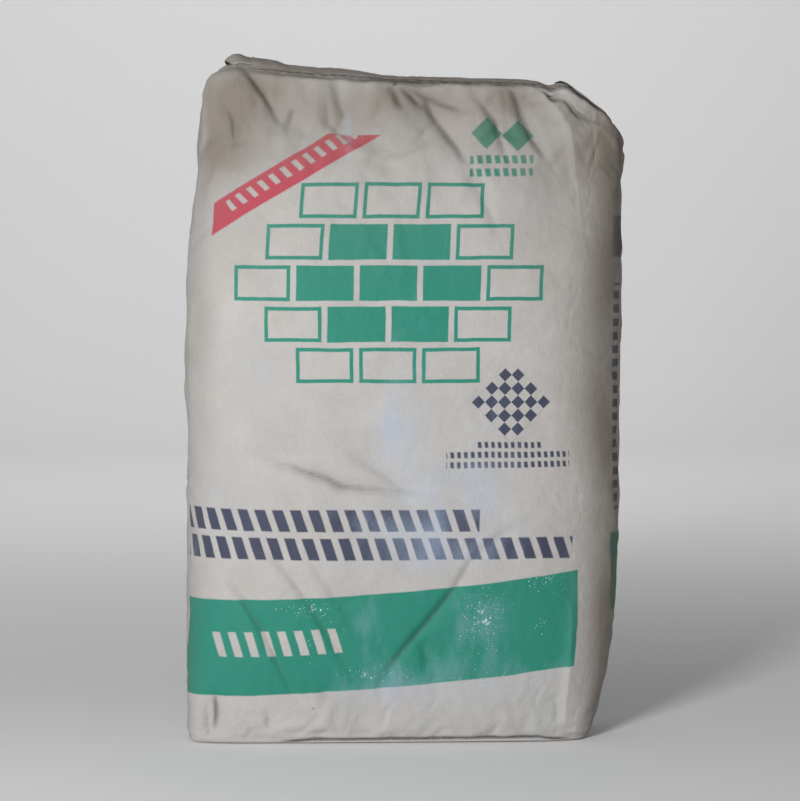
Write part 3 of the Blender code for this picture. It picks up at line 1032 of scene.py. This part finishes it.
def sack_paper_material():
    """Printed sack kraft: paper, inks, dirt and soot with painted shade and shadow, cement dust."""
    graph = Graph("printed_kraft")
    colour, height, place = paper_base(graph, KRAFT_PALE, KRAFT_DEEP)
    names = ("crease", "deep", "dust", "shade", "specks")
    crease, deep, dust, shade, specks = (graph.attribute(name) for name in names)
    green, red, navy = printed_ink(graph)

    worn = graph.noise(place, 330.0, 3.0, 0.7)
    keep = graph.remap(worn, 0.86, 0.70)
    for mask, ink in ((green, GREEN), (red, RED), (navy, NAVY)):
        colour = graph.mix(graph.math("MULTIPLY", mask, keep), colour, ink)

    # Old dirt together with painted shade, by the shade share.
    colour = graph.mix(graph.math("MULTIPLY", shade, DIRT_AND_SHADE_COVER), colour, DIRT_AND_SHADE)
    # Soot with painted shade along creases, then painted shadow in crevices and pinches.
    soot_and_crease_shade = graph.remap(graph.math("MULTIPLY_ADD", worn, 0.5, crease), 0.6, 1.3, 0.0, SOOT_AND_CREASE_SHADE_COVER)
    colour = graph.mix(soot_and_crease_shade, colour, SOOT_AND_CREASE_SHADE)
    crevice = graph.remap(graph.math("MULTIPLY_ADD", worn, 0.6, deep), 0.45, 1.25, 0.0, CREVICE_SHADE_COVER)
    colour = graph.mix(crevice, colour, CREVICE_SHADE)

    streaks = graph.noise(graph.stretched(place, (1.0, 1.0, 0.35)), 60.0, 5.0, 0.7)
    powder = graph.noise(place, 700.0, 3.0, 0.8)
    settled = graph.math("ADD", dust, graph.remap(streaks, 0.35, 0.75, -0.16, 0.16))
    settled = graph.math("ADD", settled, graph.remap(powder, 0.3, 0.7, -0.06, 0.06))
    dusty = graph.remap(settled, 0.10, 1.0, 0.0, DUST_COVER)
    colour = graph.mix(dusty, colour, DUST)
    flecks = graph.node("ShaderNodeTexVoronoi")
    graph.feed(flecks.inputs["Vector"], place)
    flecks.inputs["Scale"].default_value = 260.0
    streaked = graph.remap(streaks, 0.62, 0.80, -0.05, 0.14)
    fleck_size = graph.math("MULTIPLY_ADD", specks, 0.30, streaked)
    fleck = graph.math("LESS_THAN", flecks.outputs["Distance"], fleck_size)
    fleck_keep = graph.remap(graph.noise(place, 120.0, 1.0), 0.50, 0.60, 0.0, FLECK_COVER)
    colour = graph.mix(graph.math("MULTIPLY", fleck, fleck_keep), colour, FLECK)
    blotches = graph.math("MULTIPLY_ADD", specks, 0.30, graph.noise(place, 170.0, 4.0, 0.75))
    colour = graph.mix(graph.remap(blotches, 0.84, 0.93, 0.0, BLOTCH_COVER), colour, FLECK)

    rough = graph.remap(graph.math("MAXIMUM", green, navy), 0.0, 1.0, 0.86, 0.66)
    rough = graph.math("MAXIMUM", rough, graph.math("MULTIPLY", dusty, 0.95))
    fine = graph.bump(height, 0.00035, 0.6)
    cockle = graph.noise(graph.stretched(place, (1.0, 1.0, 0.7)), 85.0, 4.0, 0.6)
    cockled = graph.bump(cockle, 0.0022, 0.45, fine)
    sunk = graph.bump(graph.math("MULTIPLY", crease, -1.0), 0.0012, 0.6, cockled)
    graph.paint(colour, rough, sunk, PAPER_GLOSS)
    return graph.material


def plain_paper_material(name, pale, deep):
    """Unprinted sack kraft for the pasted strips and sleeve, with painted shadow along a stored border."""
    graph = Graph(name)
    colour, height, place = paper_base(graph, pale, deep)
    powder = graph.noise(place, 500.0, 4.0, 0.8)
    colour = graph.mix(graph.remap(powder, 0.52, 0.75, 0.0, 0.25), colour, DUST)
    border = graph.math("MULTIPLY", graph.attribute("border"), CREVICE_SHADE_COVER)
    colour = graph.mix(border, colour, CREVICE_SHADE)
    fine = graph.bump(height, 0.00035, 0.55)
    cockle = graph.noise(place, 110.0, 3.0, 0.55)
    graph.paint(colour, 0.86, graph.bump(cockle, 0.0010, 0.35, fine), PAPER_GLOSS)
    return graph.material


# Soft patches of cement dust on the front: X, Z, how wide, how high and how thick they lie.
FRONT_DUST = (
    (-0.010, 0.290, 0.030, 0.030, 0.42),
    (0.010, 0.245, 0.050, 0.030, 0.36),
    (0.000, 0.200, 0.040, 0.036, 0.50),
    (0.040, 0.180, 0.040, 0.024, 0.40),
    (0.058, 0.243, 0.016, 0.022, 0.55),
    (0.022, 0.215, 0.016, 0.030, 0.40),
    (-0.015, 0.310, 0.012, 0.030, 0.30),
    (0.085, 0.250, 0.016, 0.060, 0.34),
    (0.110, 0.205, 0.050, 0.036, 0.20),
    (-0.053, 0.568, 0.005, 0.012, 0.60),
    (-0.050, 0.545, 0.007, 0.014, 0.30),
    (-0.120, 0.400, 0.030, 0.060, 0.16),
    (0.010, 0.360, 0.060, 0.060, 0.20),
    (0.066, 0.118, 0.026, 0.026, 0.40),
    (-0.040, 0.112, 0.012, 0.028, 0.34),
    (-0.032, 0.052, 0.050, 0.018, 0.42),
    (0.020, 0.062, 0.070, 0.030, 0.34),
    (0.120, 0.062, 0.040, 0.016, 0.22),
)

# Spatters of dried cement: X, Z, how wide and high they spread and how thickly they lie.
SPATTERS = (
    (0.070, 0.122, 0.015, 0.026, 1.0),
    (0.128, 0.154, 0.018, 0.006, 0.9),
    (0.123, 0.112, 0.008, 0.008, 0.8),
    (-0.088, 0.128, 0.022, 0.007, 1.0),
    (-0.088, 0.092, 0.006, 0.012, 0.6),
    (-0.030, 0.066, 0.030, 0.005, 0.9),
    (0.072, 0.062, 0.030, 0.006, 0.6),
    (-0.020, 0.210, 0.050, 0.030, 0.08),
)

# Dirt and painted shade on the front, with patches of painted shade along its right and left edges:
# X, Z, how wide and high they are and how dark.
FRONT_DIRT_AND_SHADE = (
    (-0.060, 0.578, 0.040, 0.022, 0.30),
    (-0.160, 0.585, 0.020, 0.030, 0.30),
    (-0.140, 0.530, 0.026, 0.040, 0.20),
    (0.100, 0.588, 0.050, 0.014, 0.30),
    (0.020, 0.585, 0.040, 0.016, 0.24),
    (-0.084, 0.230, 0.030, 0.016, 0.12),
    (0.184, 0.430, 0.030, 0.240, 0.90),
    (0.184, 0.120, 0.024, 0.120, 0.50),
    (0.185, 0.555, 0.034, 0.050, 0.60),
    (0.125, 0.500, 0.034, 0.060, 0.50),
    (-0.170, 0.600, 0.050, 0.018, 0.40),
    (-0.155, 0.538, 0.050, 0.020, 0.36),
    (0.060, 0.548, 0.026, 0.024, 0.34),
    (-0.010, 0.597, 0.026, 0.014, 0.34),
    (0.104, 0.597, 0.024, 0.012, 0.34),
    (-0.160, 0.560, 0.050, 0.060, 0.85),
    (-0.195, 0.420, 0.024, 0.130, 0.34),
)

# Old dirt and painted shade: their share at the top, where both darken the paper, then the painted
# shade on faces that look up, right and left, and in creases.
TOP_DIRT_AND_SHADE = 0.52
UPWARD_SHADE = 0.10
RIGHT_SIDE_SHADE = 0.58
LEFT_SIDE_SHADE = 0.20
CREASE_SHADE = 0.10


def patches(rows, x, z):
    """Sum of soft patches, each with its middle, its spread and its strength."""
    total = np.zeros(len(x))
    for px, pz, wide, high, strength in rows:
        total += strength * hill(x, px, wide) * hill(z, pz, high)
    return total


def surface_marks(places, normals, crease):
    """Named shares of cement dust, old dirt with painted shade and spattered specks at each place."""
    x, _, z = places.T
    facing = smooth_step(0.25, 0.75, -normals[:, 1])
    upward = smooth_step(0.3, 0.9, normals[:, 2])
    dust = patches(FRONT_DUST, x, z) * facing * (0.75 + 0.5 * cloud(places, 0.024, 9.0))
    elsewhere = 0.10 + 0.25 * cloud(places, 0.11, 21.0)
    dust += np.clip(elsewhere, 0, 1) * (0.3 + 0.7 * (1 - facing)) * (1 - 0.8 * upward)
    patchiness = np.clip(0.75 + 0.6 * cloud(places, 0.09, 33.0), 0, 1)
    # Painted shade, partly dirt: darker towards the top, on faces that look up, right or left, on the
    # front's marks and in creases.
    shade = TOP_DIRT_AND_SHADE * smooth_step(0.40, 0.61, z) * patchiness + UPWARD_SHADE * upward
    shade += patches(FRONT_DIRT_AND_SHADE, x, z) * facing * patchiness
    shade += RIGHT_SIDE_SHADE * smooth_step(0.2, 0.8, normals[:, 0]) * patchiness
    shade += LEFT_SIDE_SHADE * smooth_step(0.4, 1.0, -normals[:, 0]) + CREASE_SHADE * crease
    specks = patches(SPATTERS, x, z) * facing
    return {"dust": np.clip(dust, 0, 1), "shade": np.clip(shade, 0, 1), "specks": np.clip(specks, 0, 1)}


def make_sack():
    """The sack's paper, with its places, their normals and flat places, its top's grid and its rows."""
    wall, bottom, top = sack_grid()
    rows = wall.shape[0]
    places = np.concatenate([part.reshape(-1, 3) for part in (wall, bottom, top)])
    faces, (_, top_grid) = sack_faces(rows, LONG_STEPS, SHORT_STEPS)
    middle = (places.min(axis=0) + places.max(axis=0)) / 2
    low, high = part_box("sack_body")
    places[:, 0] += (low[0] + high[0]) / 2 - middle[0]
    places[:, 1] += (low[1] + high[1]) / 2 - middle[1]
    data = make_mesh("sack_paper", places, faces)
    normals = vertex_normals(data)
    flat = paper_coordinates(places, rows)
    rim = top_level(places[:, 0])
    moved, crease, deep, looseness = displaced(places, normals, flat, rim, rows)
    moved += buckled(moved, rows, looseness)
    moved[:, 2] = np.maximum(moved[:, 2], BOTTOM_LEVEL)
    set_places(data, moved)
    set_paper_map(data, flat)
    shares = {"crease": crease, "deep": deep} | surface_marks(moved, normals, crease)
    for name, values in shares.items():
        set_share(data, name, values)
    sack = add_object("sack_paper", data, sack_paper_material())
    return sack, moved, vertex_normals(data), flat, top_grid, rows


# The top cover's ends along X, its half width, its paper's thickness, how far it stands off the
# sack, how ragged its worn end is, how many plies of the sleeve lift it, how strong the painted
# shadow along its border is at its ends and its mesh steps.
COVER_ENDS = (-0.141, 0.150)
COVER_HALF_WIDTH = 0.0485
COVER_PAPER = 0.0003
COVER_LIFT = 0.0004
COVER_WEAR = 0.0012
COVER_PLIES = 2.6
COVER_END_BORDER = 0.35
COVER_STEPS = (150, 44)


def make_top_cover(places, grid, material):
    """The strip of paper pasted over the folded top end. It also holds the sleeve's root."""
    x = np.linspace(*COVER_ENDS, COVER_STEPS[0] + 1)
    y = np.linspace(-COVER_HALF_WIDTH, COVER_HALF_WIDTH, COVER_STEPS[1] + 1)
    xx, yy = np.meshgrid(x, y, indexing="ij")
    worn = COVER_WEAR * np.array([noise.noise(Vector((0.0, 300 * edge, 4.0))) for edge in y])
    xx = xx + worn[None, :] * smooth_step(-0.13, -0.15, xx)
    plies = smooth_step(SLEEVE_WIDTH / 2 + 0.008, SLEEVE_WIDTH / 2 - 0.002, abs(yy))
    plies = COVER_PLIES * SLEEVE_PAPER * plies
    over_sleeve = (sleeve_rise(xx, yy) + plies) * smooth_step(-0.110, -0.120, xx)
    height = surface_height(places, grid, xx, yy) + COVER_LIFT + over_sleeve
    # Painted shadow along the cover's long edges, weaker at its ends.
    border = np.zeros(xx.shape)
    border[0] = border[-1] = COVER_END_BORDER
    border[:, 0] = border[:, -1] = 1.0
    sheet = np.stack((xx, yy, height), axis=-1)
    return add_sheet("top_cover_sheet", sheet, COVER_PAPER, material, border=border)


# The filling valve's sleeve: its free end at the left, where it dives under the cover, its width and
# how high its top stands over the sack from the free end on. Its upper ply arches over its lower one
# and leaves the mouth open by a share of that. Then how thick its paper is, how far it stands off the
# sack, how far its corners are rounded and its lower ply runs ahead of the upper one, and its
# crinkles.
SLEEVE_END = -0.1665
SLEEVE_ROOT = -0.118
SLEEVE_WIDTH = 0.076
SLEEVE_RISE = np.array((
    (-0.1665, 0.0044),
    (-0.1640, 0.0060),
    (-0.1590, 0.0068),
    (-0.1530, 0.0062),
    (-0.1460, 0.0036),
    (-0.1360, 0.0010),
    (-0.1180, 0.0004),
))
SLEEVE_MOUTH_SHARE = 0.55
SLEEVE_PAPER = 0.0006
SLEEVE_LIFT = 0.0008
SLEEVE_CORNER = 0.007
SLEEVE_CURL = 0.0050
SLEEVE_CRINKLE = 0.0005
SLEEVE_LONG_STEPS = 44
SLEEVE_WIDE_STEPS = 40


# How many of the nearest mesh places make up the height of the sack's top, and how near they count.
NEAREST_PLACES = 14
NEARNESS = 0.0035


def surface_height(places, grid, x, y):
    """Height of the sack's top at places in plan, evened out over the mesh places round each."""
    cap = places[grid.ravel()]
    tree = kdtree.KDTree(len(cap))
    for index, (px, py, _) in enumerate(cap.tolist()):
        tree.insert((px, py, 0.0), index)
    tree.balance()
    heights = []
    for px, py in zip(x.ravel().tolist(), y.ravel().tolist()):
        found = tree.find_n((px, py, 0.0), NEAREST_PLACES)
        weights = [math.exp(-((distance / NEARNESS) ** 2)) + 1e-6 for _, _, distance in found]
        total = sum(weight * cap[index, 2] for weight, (_, index, _) in zip(weights, found))
        heights.append(total / sum(weights))
    return np.array(heights).reshape(x.shape)


def sleeve_rise(x, y):
    """How high the sleeve's upper ply arches over the sack."""
    arch = 1 - np.clip(abs(y) / (SLEEVE_WIDTH / 2), 0, 1) ** 2.6
    return curve_through(SLEEVE_RISE, x)[0] * arch


def make_sleeve(places, grid, material):
    """A flattened paper tube: two plies joined along both sides, open at its free end."""
    x = np.linspace(SLEEVE_END, SLEEVE_ROOT, SLEEVE_LONG_STEPS + 1)
    turn = np.linspace(0, 2 * math.pi, SLEEVE_WIDE_STEPS, endpoint=False)
    xx, tt = np.meshgrid(x, turn, indexing="ij")
    share = np.cos(tt)
    across = SLEEVE_WIDTH / 2 * share
    rounded = SLEEVE_CORNER * abs(share) ** 3 * smooth_step(-0.145, SLEEVE_END, xx)
    curled = SLEEVE_CURL * (1 - np.sin(tt)) / 2 * smooth_step(-0.158, SLEEVE_END, xx)
    xx = xx + rounded
    resting = surface_height(places, grid, xx, across) + SLEEVE_LIFT
    crinkle = SLEEVE_CRINKLE * np.sin(90 * across + 260 * xx) * smooth_step(-0.12, -0.15, xx)
    rise = sleeve_rise(xx - rounded, across) + crinkle
    mouth = np.maximum(rise * SLEEVE_MOUTH_SHARE, 0) / 2 + SLEEVE_PAPER
    heights = resting + np.maximum(rise, 0) - mouth + mouth * np.sin(tt) + SLEEVE_PAPER
    tube = np.stack((xx + curled, across, heights), axis=-1)
    steps = SLEEVE_WIDE_STEPS
    index = np.arange((SLEEVE_LONG_STEPS + 1) * steps).reshape(-1, steps)
    data = make_mesh("valve_sleeve_paper", tube.reshape(-1, 3), ring_quads(index))
    # Painted shadow round the open mouth at the sleeve's free end.
    set_share(data, "border", np.repeat(np.arange(SLEEVE_LONG_STEPS + 1) == 0, steps))
    item = add_object("valve_sleeve_paper", data, material)
    thicken(item, SLEEVE_PAPER, -1.0)
    return item


# The back lap: its first column on the wall and how many it spans, how far it stands off the sack,
# its thickness and the wall rows left out at its ends.
LAP_START = LONG_STEPS + SHORT_STEPS + LONG_STEPS // 6
LAP_COLUMNS = LONG_STEPS // 14
LAP_LIFT = 0.0002
LAP_PAPER = 0.0004
LAP_END_ROWS = 6


def make_back_lap(places, normals, flat, rows, material):
    """The printed strip where the tube's paper overlaps itself, up the back."""
    ring = np.arange(rows * COLUMNS).reshape(rows, COLUMNS)
    grid = ring[LAP_END_ROWS:-LAP_END_ROWS, LAP_START:LAP_START + LAP_COLUMNS]
    chosen = grid.ravel()
    faces = grid_quads(np.arange(len(chosen)).reshape(grid.shape))[:, ::-1]
    data = make_mesh("back_lap", places[chosen] + normals[chosen] * LAP_LIFT, faces)
    set_paper_map(data, flat[chosen])
    item = add_object("back_lap", data, material)
    thicken(item, LAP_PAPER)
    return item


# The end flap folded over the right corner of the top: its ends along X, its half width, how sharply
# its inner edge curves, how far it stands and puffs up off the sack, its ripples and its thickness.
FLAP_ENDS = (0.1415, 0.184)
FLAP_HALF_WIDTH = 0.0505
FLAP_CURVE = 4.8
FLAP_LIFT = 0.0006
FLAP_PUFF = 0.0012
FLAP_RIPPLE = 0.0004
FLAP_PAPER = 0.0004
FLAP_STEPS = (36, 40)


def make_corner_flap(places, grid, material):
    """The folded end flap, whose edge shows as a line over the top's right corner."""
    share_along = np.linspace(0, 1, FLAP_STEPS[0] + 1)
    y = np.linspace(-FLAP_HALF_WIDTH, FLAP_HALF_WIDTH, FLAP_STEPS[1] + 1)
    ss, yy = np.meshgrid(share_along, y, indexing="ij")
    inner = FLAP_ENDS[0] + FLAP_CURVE * yy**2
    xx = inner + ss * (FLAP_ENDS[1] - inner)
    puff = FLAP_PUFF * smooth_step(1.0, 0.5, ss) + FLAP_RIPPLE * np.sin(230 * yy + 90 * xx)
    height = surface_height(places, grid, xx, yy) + FLAP_LIFT + np.maximum(puff, 0.0)
    sheet = np.stack((xx, yy, height), axis=-1)
    # Dirt with painted shade on the flap, like the sack's corner round it, darker towards its outer end.
    flap_dirt_and_shade = 0.60 + 0.35 * cloud(sheet.reshape(-1, 3), 0.030, 33.0) + 0.25 * ss.ravel()
    return add_sheet("corner_flap", sheet, FLAP_PAPER, material, shade=np.clip(flap_dirt_and_shade, 0, 1))


# Grains of dried cement stuck to the paper, and the smallest and largest as a share of the radius.
GRAIN_RADIUS = 0.00055
GRAIN_SIZES = (0.15, 1.10)
GRAINS_PER_SQUARE_METRE = 130000.0


def grain_tree(material):
    """Geometry Nodes that strew grains by the surface's share of specks."""
    tree = bpy.data.node_groups.new("strewn_grains", "GeometryNodeTree")
    face = tree.interface
    face.new_socket("Paper", in_out="INPUT", socket_type="NodeSocketGeometry")
    sizes = {"Grains per square metre": GRAINS_PER_SQUARE_METRE, "Grain radius": GRAIN_RADIUS}
    for name, value in sizes.items():
        face.new_socket(name, in_out="INPUT", socket_type="NodeSocketFloat").default_value = value
    face.new_socket("Grains", in_out="OUTPUT", socket_type="NodeSocketGeometry")
    made = {}
    for key, kind in (
        ("in", "NodeGroupInput"), ("out", "NodeGroupOutput"),
        ("specks", "GeometryNodeInputNamedAttribute"), ("density", "ShaderNodeMath"),
        ("points", "GeometryNodeDistributePointsOnFaces"), ("ball", "GeometryNodeMeshIcoSphere"),
        ("size", "FunctionNodeRandomValue"), ("spread", "GeometryNodeInstanceOnPoints"),
        ("real", "GeometryNodeRealizeInstances"), ("paint", "GeometryNodeSetMaterial"),
    ):
        made[key] = tree.nodes.new(kind)
    made["specks"].data_type = "FLOAT"
    made["specks"].inputs["Name"].default_value = "specks"
    made["density"].operation = "MULTIPLY"
    made["points"].inputs["Seed"].default_value = SEED
    made["ball"].inputs["Subdivisions"].default_value = 1
    size_inputs = [socket for socket in made["size"].inputs if socket.type == "VALUE"]
    for socket, value in zip(size_inputs, GRAIN_SIZES):
        socket.default_value = value
    made["size"].inputs["Seed"].default_value = SEED
    made["paint"].inputs["Material"].default_value = material
    size_output = next(socket for socket in made["size"].outputs if socket.type == "VALUE")
    speck_output = next(socket for socket in made["specks"].outputs if socket.type == "VALUE")
    for source, target in (
        (made["in"].outputs["Paper"], made["points"].inputs["Mesh"]),
        (speck_output, made["density"].inputs[0]),
        (made["in"].outputs["Grains per square metre"], made["density"].inputs[1]),
        (made["density"].outputs[0], made["points"].inputs["Density"]),
        (made["in"].outputs["Grain radius"], made["ball"].inputs["Radius"]),
        (made["points"].outputs["Points"], made["spread"].inputs["Points"]),
        (made["ball"].outputs["Mesh"], made["spread"].inputs["Instance"]),
        (size_output, made["spread"].inputs["Scale"]),
        (made["spread"].outputs["Instances"], made["real"].inputs["Geometry"]),
        (made["real"].outputs["Geometry"], made["paint"].inputs["Geometry"]),
        (made["paint"].outputs["Geometry"], made["out"].inputs["Grains"]),
    ):
        tree.links.new(source, target)
    return tree


def make_grains(sack):
    """Grains of dried cement as one plain mesh, strewn where the sack is spattered."""
    graph = Graph("dried_cement")
    speckle = graph.noise(graph.place(), 900.0, 2.0)
    graph.paint(graph.mix(speckle, FLECK, DUST), 0.9)
    carrier = link_new("grain_carrier", sack.data.copy())
    strewer = carrier.modifiers.new("grains", "NODES")
    strewer.node_group = grain_tree(graph.material)
    for socket in strewer.node_group.interface.items_tree:
        if socket.in_out == "INPUT" and socket.socket_type == "NodeSocketFloat":
            strewer[socket.identifier] = socket.default_value
    carrier.update_tag()
    depsgraph = bpy.context.evaluated_depsgraph_get()
    data = bpy.data.meshes.new_from_object(carrier.evaluated_get(depsgraph), depsgraph=depsgraph)
    bpy.data.objects.remove(carrier)
    data.name = "cement_grains"
    return add_object("cement_grains", data, graph.material)


# The camera stands almost square to the front, a little to the left and above the middle. It sees
# this height of the object's middle plane.
SEEN_HEIGHT = 0.75294
SENSOR_MILLIMETRES = 36.0
CAMERA_AIM = (-0.0037, 0.0, 0.3136)
CAMERA_AZIMUTH = math.radians(-2.0)
CAMERA_ELEVATION = math.radians(4.0)
CAMERA_DISTANCE = 2.3


def make_camera():
    data = bpy.data.cameras.new("camera")
    camera = link_new("camera", data)
    bpy.context.scene.camera = camera
    aim = Vector(CAMERA_AIM)
    back = Vector((
        math.sin(CAMERA_AZIMUTH) * math.cos(CAMERA_ELEVATION),
        -math.cos(CAMERA_AZIMUTH) * math.cos(CAMERA_ELEVATION),
        math.sin(CAMERA_ELEVATION),
    ))
    camera.location = aim + back * CAMERA_DISTANCE
    camera.rotation_euler = (-back).to_track_quat("-Z", "Y").to_euler()
    data.sensor_width = SENSOR_MILLIMETRES
    data.lens = SENSOR_MILLIMETRES * CAMERA_DISTANCE / SEEN_HEIGHT
    data.clip_start = 0.05
    data.clip_end = 50.0


# Lights: name, place, aim, size and power. Then the strength of the plain sky and the backdrop's
# colour.
LIGHTS = (
    ("key", (-1.05, -2.25, 0.80), (0.0, 0.0, 0.25), (0.5, 0.5), 52),
    ("backdrop_light", (0.0, 1.4, 2.2), (0.0, 4.2, 0.7), (4.0, 1.0), 34),
)
SKY_STRENGTH = 0.23
BACKDROP = (0.88, 0.88, 0.88, 1.0)


def make_area_light(name, place, aim, size, power):
    data = bpy.data.lights.new(name, "AREA")
    data.shape = "RECTANGLE"
    data.size, data.size_y = size
    data.energy = power
    light = link_new(name, data)
    light.visible_camera = False
    light.location = place
    light.rotation_euler = (Vector(aim) - Vector(place)).to_track_quat("-Z", "Y").to_euler()


def make_studio():
    """A pale floor that curves up into a backdrop, and plain soft light."""
    radius, far, wide, steps = 1.0, 3.0, 6.0, 16
    profile = [(-6.0, 0.0), (far, 0.0)]
    for k in range(1, steps + 1):
        turn = math.pi / 2 * k / steps
        profile.append((far + radius * math.sin(turn), radius * (1 - math.cos(turn))))
    profile.append((far + radius, 6.0))
    places = np.array([(x, y, z) for y, z in profile for x in (-wide, wide)])
    faces = np.array([(2 * k, 2 * k + 1, 2 * k + 3, 2 * k + 2) for k in range(len(profile) - 1)])
    graph = Graph("pale_backdrop")
    graph.paint(BACKDROP, 0.9)
    floor = add_object("backdrop", make_mesh("backdrop", places, faces), graph.material)
    for light in LIGHTS:
        make_area_light(*light)
    world = bpy.data.worlds.new("studio")
    bpy.context.scene.world = world
    world.use_nodes = True
    background = world.node_tree.nodes["Background"]
    background.inputs["Color"].default_value = (1.0, 1.0, 1.0, 1.0)
    background.inputs["Strength"].default_value = SKY_STRENGTH
    bpy.context.scene.view_settings.view_transform = "Standard"


make_camera()
make_studio()
sack, places, normals, flat, top_grid, rows = make_sack()
cover_paper = plain_paper_material("cover_kraft", COVER_PALE, COVER_DEEP)
top_cover = make_top_cover(places, top_grid, cover_paper)
sleeve = make_sleeve(places, top_grid, cover_paper)
back_lap = make_back_lap(places, normals, flat, rows, sack.data.materials[0])
corner_flap = make_corner_flap(places, top_grid, sack.data.materials[0])
grains = make_grains(sack)
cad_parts["bottom_cover_patch"].material_slots[0].material = cover_paper

for piece in (sack, top_cover, sleeve, back_lap, corner_flap, grains):
    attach(piece, "root")
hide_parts("sack_body")
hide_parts("top_cover_patch")
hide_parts("valve_sleeve")
